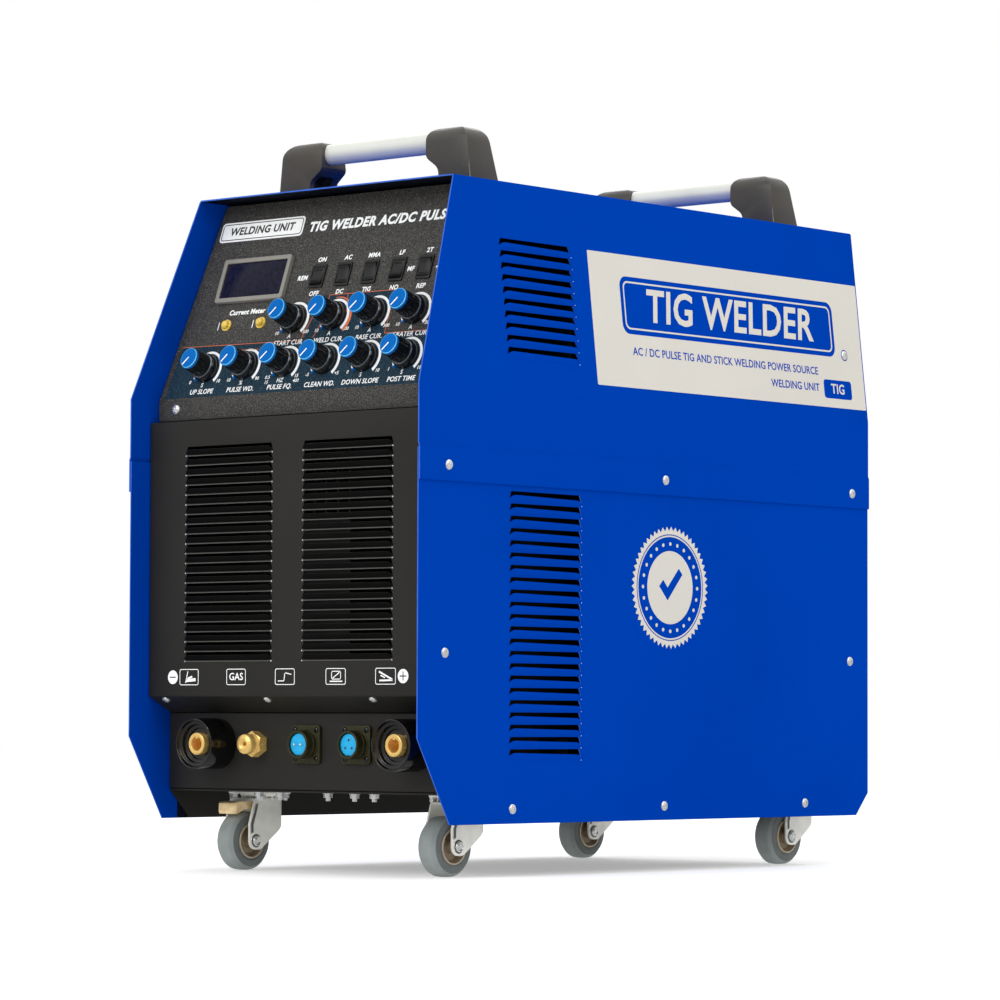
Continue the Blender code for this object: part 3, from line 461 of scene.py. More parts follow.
def lettering(words, size, matrix, bold=0.0, slant=0.0, align="CENTER"):
    curve = bpy.data.curves.new("words", "FONT")
    curve.body = words
    curve.size = size
    curve.offset = bold * size
    curve.space_character = 1.0 + 2.4 * bold
    curve.shear = slant
    curve.align_x, curve.align_y = align, "CENTER"
    curve.extrude = PRINT / 2
    curve.resolution_u = 3
    obj = bpy.data.objects.new("words", curve)
    bpy.context.scene.collection.objects.link(obj)
    return placed(evaluated(obj), matrix @ shift(z=PRINT / 2))


def strokes(points, width, matrix):
    """A printed line through the points."""
    made = []
    for (a, b), (c, d) in zip(points, points[1:]):
        along = Vector((c - a, d - b))
        angle = math.atan2(along.y, along.x)
        at = matrix @ shift((a + c) / 2, (b + d) / 2) @ turn(angle)
        made.append(plate([rectangle(along.length + width, width)], PRINT, at))
    return joined(made)


def block(low, high, matrix=None, edge=0.0, segments=2):
    low, high = Vector(low), Vector(high)
    bm = bmesh.new()
    bmesh.ops.create_cube(
        bm, size=1.0,
        matrix=shift(*((low + high) / 2)) @ Matrix.Diagonal((*(high - low), 1.0)))
    if edge:
        bmesh.ops.bevel(bm, geom=bm.edges[:], offset=edge, segments=segments, profile=0.5,
                        affect="EDGES", material=-1)
    return placed(bm, matrix)


def rod(radius, start, end, matrix=None, sides=32, edge=0.0, top=None):
    """A cylinder or cone along local z."""
    bm = bmesh.new()
    bmesh.ops.create_cone(bm, cap_ends=True, segments=sides, radius1=radius,
                          radius2=radius if top is None else top, depth=end - start,
                          matrix=shift(z=(start + end) / 2))
    if edge:
        soften(bm, edge)
    return placed(bm, matrix)


def turned(profile, sides=48, matrix=None, closed=False):
    """A profile of (radius, height) pairs turned about local z."""
    bm = bmesh.new()
    points = [bm.verts.new((p[0], 0.0, p[1])) for p in profile]
    edges = [bm.edges.new(pair) for pair in zip(points, points[1:])]
    if closed:
        edges.append(bm.edges.new((points[-1], points[0])))
    bmesh.ops.spin(bm, geom=points + edges, cent=(0, 0, 0), axis=(0, 0, 1), angle=math.tau,
                   steps=sides, use_merge=True)
    return placed(bm, matrix)


def soften(bm, width, segments=2, angle=50.0):
    limit = math.radians(angle)
    edges = [e for e in bm.edges if len(e.link_faces) == 2 and e.calc_face_angle(0.0) > limit]
    bmesh.ops.bevel(bm, geom=edges, offset=width, segments=segments, profile=0.5, affect="EDGES",
                    clamp_overlap=True, material=-1)
    return bm


def combined(bm, other, operation="DIFFERENCE"):
    """bm with the other shape cut away, added or kept in common."""
    target, tool = temporary(bm), temporary(other, "tool")
    modifier = target.modifiers.new("shape", "BOOLEAN")
    modifier.object = tool
    modifier.operation = operation
    modifier.solver = "EXACT"
    result = evaluated(target)
    mesh = tool.data
    bpy.data.objects.remove(tool, do_unlink=True)
    bpy.data.meshes.remove(mesh)
    bmesh.ops.dissolve_limit(result, angle_limit=0.002, verts=result.verts, edges=result.edges)
    return placed(result)


def thickened(bm, thickness=SHEET):
    """An open surface given a sheet's thickness on its inner side."""
    obj = temporary(bm)
    modifier = obj.modifiers.new("sheet", "SOLIDIFY")
    modifier.thickness = thickness
    modifier.offset = -1.0
    modifier.use_even_offset = True
    return placed(evaluated(obj))


def sheet_metal(bm):
    """An open surface as sheet metal with its edges broken."""
    return soften(thickened(bm), SHEET_EDGE)


def swept(section, start, end, lengthwise):
    """An open line (u, v) carried along x or y, as a surface."""
    bm = bmesh.new()
    if lengthwise == "X":
        line = [bm.verts.new((start, u, v)) for u, v in section]
        travel = (end - start, 0.0, 0.0)
    else:
        line = [bm.verts.new((u, start, v)) for u, v in section]
        travel = (0.0, end - start, 0.0)
    edges = [bm.edges.new(pair) for pair in zip(line, line[1:])]
    made = bmesh.ops.extrude_edge_only(bm, edges=edges)["geom"]
    bmesh.ops.translate(bm, verts=[g for g in made if isinstance(g, bmesh.types.BMVert)],
                        vec=travel)
    return bm


def face_away(bm, inside):
    """Turns an open surface so that its faces look away from a point inside."""
    bm.normal_update()
    inside = Vector(inside)
    if sum(f.normal.dot(f.calc_center_median() - inside) * f.calc_area() for f in bm.faces) < 0:
        bmesh.ops.reverse_faces(bm, faces=bm.faces)
    return bm


def split(bm, at, normal, clear=False):
    geometry = bm.verts[:] + bm.edges[:] + bm.faces[:]
    bmesh.ops.bisect_plane(bm, geom=geometry, dist=EPS, plane_co=at, plane_no=normal,
                           clear_outer=clear)


def cut_slots(bm, axis, spans, tops, height, flare, facing):
    """Cuts rows of slots, wider at their foot, in the faces that look along an axis."""
    along = Vector((1, 0, 0)) if axis == 0 else Vector((0, 1, 0))
    for span in spans:
        for edge in span:
            split(bm, along * edge, along)
    for top in tops:
        split(bm, (0, 0, top), (0, 0, 1))
        split(bm, (0, 0, top - height), (0, 0, 1))
    bm.normal_update()
    holes = []
    for face in bm.faces:
        centre = face.calc_center_median()
        inside = any(a < centre[axis] < b for a, b in spans)
        if inside and abs(face.normal[facing]) > 0.7:
            if any(top - height < centre.z < top for top in tops):
                holes.append(face)
    bmesh.ops.delete(bm, geom=holes, context="FACES")
    for vertex in bm.verts:
        if any(abs(vertex.co.z - top + height) < 1e-5 for top in tops):
            for a, b in spans:
                if abs(vertex.co[axis] - a) < 1e-5:
                    vertex.co[axis] -= flare
                elif abs(vertex.co[axis] - b) < 1e-5:
                    vertex.co[axis] += flare


def hood(length, height, lift, flare, gaps=(0.38, 0.38)):
    """A pressed louvre hood, open at its top: local x along it from its top edge, y up, z out."""
    columns = ((-flare, 0.0), (-flare * 0.35, 0.35), (flare * 0.3, 0.80), (flare * 1.2, 1.0))
    columns += tuple((length - a, b) for a, b in reversed(columns))
    rows = ((1.0, 0.0), (0.80, 0.25), (0.55, 0.54), (0.25, 0.86), (0.0, 1.0))
    foot = 0.97 * height
    bm = bmesh.new()
    grid = []
    for along, share in columns:
        lip = (gaps[0] + (gaps[1] - gaps[0]) * min(1.0, max(0.0, along / length))) * height
        top = lip + (1 - share) * 0.30 * height
        bottom = foot - (1 - share) * 0.08 * height
        line = []
        for t, out in rows:
            line.append(bm.verts.new((along, -(top + (bottom - top) * t),
                                      lift * out * share - 0.00015)))
        grid.append(line)
    for left, right in zip(grid, grid[1:]):
        for a, b, c, d in zip(left, left[1:], right[1:], right):
            bm.faces.new((a, d, c, b))
    bm.normal_update()
    if sum(f.normal.z for f in bm.faces) < 0:
        bmesh.ops.reverse_faces(bm, faces=bm.faces)
    return soften(thickened(bm, 0.0008), 0.00018)


def lip_highlight_rod(length, flare):
    """A thin rod along local x, painted light as the highlight on a louvre's lower sheet edge."""
    return rod(0.00042, -flare, length + flare, ALONG_X, 8)


def corner_glints(length, flare, radius, ends=(0, 1)):
    """Small painted glints of light at a louvre's lower corners."""
    spots = []
    for end in ends:
        bm = bmesh.new()
        at = shift(length + flare if end else -flare)
        bmesh.ops.create_icosphere(bm, subdivisions=2, radius=radius, matrix=at)
        spots.append(bm)
    return joined(spots)


def mark_painted_light(bm, inside, beyond, edges=False):
    """Marks the faces that look inwards, past a depth or downwards, for the second look, a painted
    shade, and the front edges for the third, a painted highlight."""
    bm.normal_update()
    inside = Vector(inside)
    for face in bm.faces:
        centre = face.calc_center_median()
        inward = face.normal.dot(centre - inside) < 0
        face.material_index = int(inward and (centre.y > beyond or face.normal.z < -0.8))
        if edges and face.normal.y < -0.35 and not inward:
            face.material_index = 2
    return bm


def put(name, pieces, body="chassis", stands_for=(), smooth=35.0):
    """One finished piece at the origin, riding on a body of the frame. Each of the pieces is a
    (bmesh, look) pair. A tuple of looks goes by the bmesh's own material indices."""
    names = []
    for bm, look in pieces:
        several = isinstance(look, tuple)
        for face in bm.faces:
            face.material_index = len(names) + (face.material_index if several else 0)
        names += look if several else (look,)
    whole = moved(joined([bm for bm, _ in pieces]), MACHINE)
    limit = math.radians(smooth)
    for face in whole.faces:
        face.smooth = True
    for edge in whole.edges:
        edge.smooth = len(edge.link_faces) == 2 and edge.calc_face_angle(0.0) < limit
    mesh = bpy.data.meshes.new(name)
    whole.to_mesh(mesh)
    whole.free()
    for look in names:
        mesh.materials.append(look_of(look))
    obj = bpy.data.objects.new(name, mesh)
    bpy.context.scene.collection.objects.link(obj)
    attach(obj, body)
    if stands_for:
        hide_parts(*stands_for)
    return obj


def dress(node, look):
    """Gives a CAD node that stays in view its finish."""
    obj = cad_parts[node]
    obj.data.materials.clear()
    obj.data.materials.append(look_of(look))


def wall_at(z):
    return HALF_WALL - LEAN * max(0.0, z - BEND_Z)


def on_wall(side, y, z, half=None):
    """Local x runs forwards to back on the right wall, the other way on the left; y up, z out."""
    lean = LEAN if half is None and z > BEND_Z else 0.0
    up = Vector((-side * lean, 0, 1)).normalized()
    run = Vector((0, side, 0))
    out = run.cross(up)
    x = side * (wall_at(z) if half is None else half)
    return shift(x, y, z) @ Matrix((run, up, out)).transposed().to_4x4()


def on_panel(x, s, lift=0.0):
    """Local z out of the control panel, local y up its slope."""
    foot = shift(x, PANEL_Y + FRONT_RISE * s / SLOPE_LENGTH, BEND_Z + s / SLOPE_LENGTH)
    return foot @ turn(PANEL_TILT, "X") @ shift(z=lift)


def on_front(x, y, z):
    """Local x right, y up, z towards the front."""
    return shift(x, y, z) @ FORWARD


def pan_head(radius=0.0043, height=0.00175):
    """A domed screw head with a cross recess."""
    profile = [(0.0, height), (0.45 * radius, 0.96 * height), (0.78 * radius, 0.74 * height),
               (0.96 * radius, 0.36 * height), (radius, 0.10 * height), (radius, -0.0004),
               (0.0, -0.0004)]
    head = turned(profile, 28)
    depth = 0.30 * height
    long, short = 0.55 * radius, 0.14 * radius
    for u, v in ((long, short), (short, long)):
        head = combined(head, block((-u, -v, depth), (u, v, 2 * height)))
    return head


def put_screws(name, spots, head=None):
    put(name, [(copies(head or pan_head(), spots), "bright_zinc")], smooth=50)


def hex_nut(across, height, matrix=None, bore=0.0):
    """A hexagon nut or bolt head with a turned chamfer."""
    corner = across / 2 / math.cos(math.pi / 6)
    nut = rod(corner, 0.0, height, sides=6)
    cone = turned([(0.0, height), (across / 2, height),
                   (corner * 1.05, height - 0.25 * (corner * 1.05 - across / 2) * 2),
                   (corner * 1.05, 0.0), (0.0, 0.0)], 36)
    nut = combined(nut, cone, "INTERSECT")
    if bore:
        nut = combined(nut, rod(bore, height * 0.4, height * 2, sides=20))
    return placed(nut, matrix)


# ---------------------------------------------------------------- settings

def colour_property(name, description, default):
    return bpy.props.FloatVectorProperty(name=name, description=description, subtype="COLOR",
                                         size=3, min=0.0, max=1.0, default=default)


def length_property(name, description, default):
    return bpy.props.FloatProperty(name=name, description=description, unit="LENGTH", min=0.0,
                                   default=default, precision=4)


class WELDER_PG_covers(bpy.types.PropertyGroup):
    """Blue covers, their louvres and labels."""
    enamel: colour_property("Enamel", "Colour of the painted covers", (0.0, 0.0455, 0.385))
    label: colour_property("Label", "Colour of the side labels", (0.65, 0.625, 0.565))
    louvre_lift: length_property("Louvre lift", "How far a louvre hood stands out of its wall",
                                 0.0022)


class WELDER_PG_panels(bpy.types.PropertyGroup):
    """Front and rear panels."""
    black: colour_property("Black enamel", "Colour of the black panels", (0.017, 0.0160, 0.0135))
    film: colour_property("Control film", "Colour of the film on the control panel",
                          (0.030, 0.029, 0.027))
    zone: colour_property("Lower zone", "Colour of the tinted zone behind the lower knobs",
                          (0.010, 0.028, 0.046))


class WELDER_PG_controls(bpy.types.PropertyGroup):
    """Knobs, switches and meter."""
    cap: colour_property("Knob cap", "Colour of the knob caps", (0.0, 0.115, 0.42))
    flutes: bpy.props.IntProperty(name="Flutes", description="Grip flutes around a knob",
                                  default=20, min=6)


class WELDER_PG_fittings(bpy.types.PropertyGroup):
    """Connectors and handles."""
    insert: colour_property("Insert", "Colour of the inserts in the round connectors",
                            (0.0, 0.40, 0.76))
    handle: colour_property("Handle", "Colour of the handle brackets", (0.044, 0.043, 0.037))


class WELDER_PG_castors(bpy.types.PropertyGroup):
    """Castors."""
    tyre: colour_property("Tyre", "Colour of the rubber tyres", (0.255, 0.285, 0.280))
    hub: colour_property("Hub", "Colour of the wheel hubs", (0.33, 0.26, 0.17))


class WELDER_PG_stage(bpy.types.PropertyGroup):
    """Floor, lights and camera."""
    floor: colour_property("Floor", "Colour of the floor", (0.90, 0.90, 0.90))
    surround: bpy.props.FloatProperty(name="Surround", description="Brightness from above",
                                      default=0.74)
    low: bpy.props.FloatProperty(name="Low surround", description="Brightness from below",
                                 default=0.38)
    lens: bpy.props.FloatProperty(name="Lens", description="Focal length in millimetres",
                                  default=152.8)


# ---------------------------------------------------------------- pieces

class WELDER_OT_covers(bpy.types.Operator):
    """Sheet covers with pressed louvres and their screws"""
    bl_idname = "welder.covers"
    bl_label = "Covers"

    def upper(self, lift):
        right = [(HALF_LAP, SEAM_Z), (HALF_LAP, JOG_Z - 0.003, 0.0010), (HALF_WALL, JOG_Z, 0.0010),
                 (HALF_WALL, BEND_Z, 0.004), (HALF_TOP, TOP_Z, 0.0022)]
        left = [(-c[0], *c[1:]) for c in reversed(right)]
        bm = swept(rounded(right + left, 6), 0.0, DEPTH, "Y")
        split(bm, (0, 0, BEND_Z), (0, -1, FRONT_RISE), clear=True)
        face_away(bm, (0, DEPTH / 2, 0.30))
        split(bm, (0, PANEL_Y + INNER_Y, 0), (0, 1, 0))
        tops = [UPPER_SLOT_Z - k * SIDE_PITCH for k in range(UPPER_SLOTS)]
        cut_slots(bm, 1, (SIDE_SLOTS,), tops, SLOT_TALL, SLOT_FLARE, 0)
        skin = mark_painted_light(sheet_metal(bm), (0, DEPTH / 2, 0.30), PANEL_Y + INNER_Y, True)
        return joined([skin] + [self.hoods(side, tops, lift, None) for side in (-1, 1)])

    def hoods(self, side, tops, lift, half):
        gaps = (0.38, 0.54) if half is None else (0.30, 0.47)
        start = SIDE_SLOTS[0] if side > 0 else SIDE_SLOTS[1]
        gaps = gaps if side > 0 else gaps[::-1]
        one = hood(SIDE_SLOTS[1] - SIDE_SLOTS[0], SIDE_PITCH * 0.98, lift, 0.0034, gaps)
        return copies(one, [on_wall(side, start, top, half) for top in tops])

    def lower(self, side, lift):
        top = JOG_Z - 0.0038
        outline = [(0.0, top), (0.0, NOSE_Z), (NOSE_Y, 0.0), (DEPTH - TAIL_Y, 0.0), (DEPTH, TAIL_Z),
                   (DEPTH, top)]
        bm = bmesh.new()
        bm.faces.new([bm.verts.new((side * HALF_LOWER, y, z)) for y, z in outline])
        face_away(bm, (0, DEPTH / 2, 0.15))
        split(bm, (0, PORT_Y + 0.010, 0), (0, 1, 0))
        split(bm, (0, 0, FLOOR_Z), (0, 0, 1))
        tops = [LOWER_SLOT_Z - k * SIDE_PITCH for k in range(LOWER_SLOTS)]
        cut_slots(bm, 1, (SIDE_SLOTS,), tops, SLOT_TALL, SLOT_FLARE, 0)
        skin = mark_painted_light(sheet_metal(bm), (0, DEPTH / 2, 0.15), PORT_Y + 0.010, True)
        return joined([skin, self.hoods(side, tops, lift, HALF_LOWER)])

    def execute(self, context):
        settings = context.scene.welder_covers
        # enamel, painted shade on the inner faces, painted highlight on the front edges
        blue = ("blue_enamel", "shaded_blue", "edge_blue")
        put("upper_cover_skin", [(self.upper(settings.louvre_lift), blue)],
            stands_for=["upper_cover"], smooth=15)
        for hand, side in (("left", -1), ("right", 1)):
            put(f"lower_cover_{hand}_skin", [(self.lower(side, settings.louvre_lift), blue)],
                stands_for=[f"lower_cover_{hand}"], smooth=15)
        # Painted glints at the rear lower corner of each side louvre.
        ends = []
        for side in (-1, 1):
            for count, first, half in ((UPPER_SLOTS, UPPER_SLOT_Z, None),
                                       (LOWER_SLOTS, LOWER_SLOT_Z, HALF_LOWER)):
                feet = [on_wall(side, SIDE_SLOTS[1], first - (k + 0.90) * SIDE_PITCH, half)
                        for k in range(count)]
                ends.append(copies(corner_glints(0.0, 0.0030, 0.00042, (int(side > 0),)), feet))
        put("cover_louvre_ends", [(joined(ends), "bare_edge")])
        spots = []
        for side in (-1, 1):
            spots += [on_wall(side, y, z, HALF_LAP) for y, z in LAP_SCREWS]
            spots += [on_wall(side, y, z, HALF_LOWER) for y, z in LOWER_SCREWS]
            spots.append(on_wall(side, *WALL_SCREW))
        spots = [spot @ turn(0.5 * k) for k, spot in enumerate(spots)]
        put_screws("cover_screws", spots)
        return {"FINISHED"}


class WELDER_OT_labels(bpy.types.Operator):
    """Plain labels on the side covers"""
    bl_idname = "welder.labels"
    bl_label = "Side labels"

    def execute(self, context):
        grey, blue = "label_grey", "blue_enamel"
        low, high = 0.368, 0.483
        front, back = 0.228, 0.6145
        wide, tall = back - front, (high - low) * math.hypot(1.0, LEAN)
        middle = (low + high) / 2
        for hand, side in (("left", -1), ("right", 1)):
            at = on_wall(side, (front + back) / 2, middle) @ shift(z=LABEL_GAP)
            on_top = at @ shift(z=LABEL)
            hole_u = side * (WALL_SCREW[0] - (front + back) / 2)
            hole_v = WALL_SCREW[1] - middle
            sheet = plate([rectangle(wide, tall, 0.001), circle(0.0052, 24, hole_u, hole_v)], LABEL,
                          at)
            band = plate([rectangle(0.306, 0.050, 0.009, 0.0, 0.014, 8)], PRINT, on_top)
            over = on_top @ shift(0.0, 0.014, PRINT)
            marks = [lettering("TIG WELDER", 0.040, over, 0.022, 0.12),
                     plate([rectangle(0.298, 0.042, 0.006, steps=8),
                            rectangle(0.295, 0.039, 0.005, steps=8)], PRINT, over),
                     lettering("TIG", 0.0125, on_top @ shift(side * 0.152, -0.041, PRINT), 0.020)]
            right = 0.124 if side > 0 else 0.150
            small = [lettering("AC / DC PULSE TIG AND STICK WELDING POWER SOURCE", 0.0098,
                               on_top @ shift(right, -0.026), 0.010, align="RIGHT"),
                     lettering("WELDING UNIT", 0.0098, on_top @ shift(right, -0.041), 0.012,
                               align="RIGHT"),
                     plate([rectangle(0.042, 0.017, 0.003, side * 0.152, -0.041)], PRINT, on_top)]
            put(f"side_label_{hand}", [(sheet, grey), (joined([band] + small), blue),
                                       (joined(marks), grey)])
            self.badge(hand, side, grey, blue)
        return {"FINISHED"}

    def badge(self, hand, side, grey, blue):
        at = on_wall(side, 0.3254, 0.199, HALF_LOWER) @ shift(z=LABEL_GAP)
        teeth = 55
        rim = []
        for k in range(teeth * 2):
            a, r = math.pi * k / teeth, 0.0525 if k % 2 else 0.0487
            rim.append((r * math.cos(a), r * math.sin(a)))
        disc = plate([rim], LABEL, at)
        above = at @ shift(z=LABEL)
        line = plate([circle(0.0458, 64), circle(0.0450, 64)], PRINT, above)
        ring = plate([circle(0.0435, 64), circle(0.0315, 64)], PRINT, above)
        dots = [plate([circle(0.0016, 16)], PRINT, above @ shift(z=PRINT) @ turn(math.tau * k / 24)
                      @ shift(0.0375)) for k in range(24)]
        tick = [(-0.0150, 0.0010), (-0.0095, 0.0065), (-0.0035, 0.0000), (0.0120, 0.0165),
                (0.0170, 0.0115), (-0.0035, -0.0110)]
        mark = plate([tick], PRINT, above)
        put(f"round_label_{hand}", [(disc, grey), (joined([line, ring, mark]), blue),
                                    (joined(dots), grey)])


class WELDER_OT_control_panel(bpy.types.Operator):
    """Control panel film with its printed scales"""
    bl_idname = "welder.control_panel"
    bl_label = "Control panel"

    def film(self):
        top, foot = 0.1755, 0.0005
        side = [(wall_at(BEND_Z + s / SLOPE_LENGTH) - 0.0065, s) for s in (foot, top)]
        outline = rounded([(-side[0][0], foot, 0.002), (side[0][0], foot, 0.002),
                           (side[1][0], top, 0.002), (-side[1][0], top, 0.002)])
        holes = [rectangle(0.0140, 0.0180, 0.0, x, SWITCH_S) for x, _ in SWITCHES]
        holes.append(rectangle(METER_WIDE - 0.006, METER_TALL - 0.006, 0.0, METER_X, METER_S))
        for count, x0, s in KNOB_ROWS.values():
            holes += [circle(0.0045, 16, x0 + k * KNOB_PITCH, s) for k in range(count)]
        return plate([outline, *holes], FILM, on_panel(0, 0, FILM_TOP - FILM))

    def zone(self):
        """The tinted zone: under the orange line, stepping up round the upper knobs."""
        half = wall_at(BEND_Z) - 0.0085
        outline = [(-half, 0.0015), (half, 0.0015), (half - 0.006, 0.049), (0.083, 0.049),
                   (0.083, 0.0885), (-0.0010, 0.0885), (-0.0080, 0.0500), (-half + 0.006, 0.0495)]
        holes = [circle(0.0046, 16, x0 + k * KNOB_PITCH, s) for count, x0, s in KNOB_ROWS.values()
                 for k in range(count) if -half < x0 + k * KNOB_PITCH and (s < 0.05 or 0 < k < 3)]
        return plate([outline, *holes], ZONE_TOP - FILM_TOP, on_panel(0, 0, FILM_TOP))

    def scales(self):
        at = on_panel(0, 0, ZONE_TOP)
        white, orange = [], []
        below = {"lower": (("UP SLOPE", "S", "0", "10"), ("PULSE WD.", "%", "10", "90"),
                           ("PULSE FQ.", "HZ", "0.5", "15"), ("CLEAN WD.", "", "-5", "+5"),
                           ("DOWN SLOPE", "S", "0", "10"), ("POST TIME", "S", "1", "10")),
                 "upper": (("START CUR.", "A", "10", "300"), ("WELD CUR.", "A", "10", "300"),
                           ("BASE CUR.", "A", "10", "300"), ("CRATER CUR.", "A", "10", "300"))}
        for row, (count, x0, s) in KNOB_ROWS.items():
            for k, (title, unit, first, last) in zip(range(count), below[row]):
                here = at @ shift(x0 + k * KNOB_PITCH, s)
                white.append(plate([arc_band(0.0142, 0.0154, 0.0172, 226, -46)], PRINT, here))
                if row == "upper" and k == 1:
                    orange.append(plate([arc_band(0.0174, 0.0180, 0.0206, 100, -44)], PRINT, here))
                for text, size, u, v in ((title, 0.0062, 0.0, -0.0212),
                                         (unit, 0.0054, -0.0012, -0.0152),
                                         (first, 0.0044, -0.0165, -0.0118),
                                         (last, 0.0044, 0.0168, -0.0120)):
                    if text:
                        white.append(lettering(text, size, here @ shift(u, v), 0.016, 0.12))
        here = at @ shift(KNOB_ROWS["lower"][1] + 2 * KNOB_PITCH, KNOB_ROWS["lower"][2])
        white += [lettering(text, 0.0044, here @ shift(u, -0.0164), 0.010, 0.12)
                  for text, u in (("15", -0.0168), ("400", 0.0175))]
        for x, s, text in ((-0.0105, 0.1225, "ON"), (-0.0105, 0.0910, "OFF"),
                           (-0.0282, 0.1065, "REM"), (0.0195, 0.1225, "AC"), (0.0190, 0.0910, "DC"),
                           (0.0490, 0.1225, "MMA"), (0.0495, 0.0910, "TIG"), (0.0800, 0.1225, "LF"),
                           (0.0945, 0.1065, "MF"), (0.0805, 0.0905, "NO"), (0.1110, 0.1225, "2T"),
                           (0.1255, 0.1065, "4T"), (0.1105, 0.0900, "REP"),
                           (-0.0840, 0.0790, "Current Meter")):
            white.append(lettering(text, 0.0064 if text[1:2].islower() else 0.0058,
                                   at @ shift(x, s), 0.034, 0.12))
        white.append(lettering("TIG WELDER AC/DC PULSE", 0.0122, at @ shift(-0.0360, 0.1545), 0.044,
                               0.15, "LEFT"))
        white += [plate([rectangle(0.0008, 0.0072, 0.0, x, 0.0672)], PRINT, at)
                  for x in (-0.1140, -0.0735)]
        half = wall_at(BEND_Z) - 0.0145
        lines = ([(-half, 0.0495), (-0.0120, 0.0482), (-0.0092, 0.0560), (-0.0040, 0.0700)],
                 [(0.0020, 0.0500), (0.0090, 0.0660), (0.0090, 0.0885), (0.0830, 0.0885),
                  (0.0830, 0.0490), (half, 0.0490)],
                 [(-0.0785, 0.0432), (-0.0580, 0.0428)],
                 [(0.0300, 0.0885), (0.0330, 0.0720)],
                 [(0.0660, 0.0800), (0.0660, 0.0560), (0.0620, 0.0560)])
        orange += [strokes(line, 0.0005, at) for line in lines]
        return joined(white), joined(orange)

    def execute(self, context):
        dress("control_panel", "film_grey")
        white, orange = self.scales()
        put("control_film", [(self.film(), "film_grey"), (self.zone(), "zone_grey")])
        put("control_print", [(white, "white_ink"), (orange, "orange_ink")])
        plain = plate([rectangle(0.0980, 0.0185, 0.0035, NAME_X, NAME_S)], 0.00030,
                      on_panel(0, 0, FILM_TOP))
        frame_line = plate([rectangle(0.0950, 0.0155, 0.0028, NAME_X, NAME_S),
                            rectangle(0.0935, 0.0140, 0.0022, NAME_X, NAME_S)], PRINT,
                           on_panel(0, 0, NAME_TOP))
        words = lettering("WELDING UNIT", 0.0100, on_panel(NAME_X, NAME_S, NAME_TOP), 0.030, 0.12)
        put("name_plate", [(plain, "white_ink"), (joined([frame_line, words]), "dark_ink")])
        spots = [on_front(x, PANEL_Y, 0.349) @ turn(0.6) for x in (-0.142, 0.142)]
        put_screws("panel_screws", spots)
        return {"FINISHED"}


class WELDER_OT_meter(bpy.types.Operator):
    """Digital current meter and the two indicator lamps"""
    bl_idname = "welder.meter"
    bl_label = "Meter and lamps"

    def execute(self, context):
        at = on_panel(METER_X, METER_S, 0.0003)
        wide, tall = METER_WIDE, METER_TALL
        bezel = plate([rectangle(wide, tall, 0.002),
                       rectangle(wide - 0.0076, tall - 0.0076, 0.0012)], 0.0040, at)
        bezel = soften(bezel, 0.0007, 3, 50)
        window = block((-wide / 2 + 0.0034, -tall / 2 + 0.0034, 0.0001),
                       (wide / 2 - 0.0034, tall / 2 - 0.0034, 0.0028), at, 0.0002)
        case = block((-wide / 2 + 0.0045, -tall / 2 + 0.0045, -0.022),
                     (wide / 2 - 0.0045, tall / 2 - 0.0045, 0.0), at, 0.0008)
        put("meter_front", [(bezel, "meter_grey"), (window, "meter_glass"), (case, "matt_black")],
            stands_for=["meter_bezel"])
        lamps = []
        for x in LAMPS:
            profile = rounded([(0.0, 0.0046), (0.0036, 0.0046, 0.0024), (0.0038, 0.0010),
                               (0.0052, 0.0009), (0.0052, 0.0), (0.0, 0.0)], 6)
            lamps.append(turned(profile, 36, on_panel(x, 0.0676, FILM_TOP)))
        put("indicator_lamps", [(joined(lamps), "led_gold")])
        return {"FINISHED"}


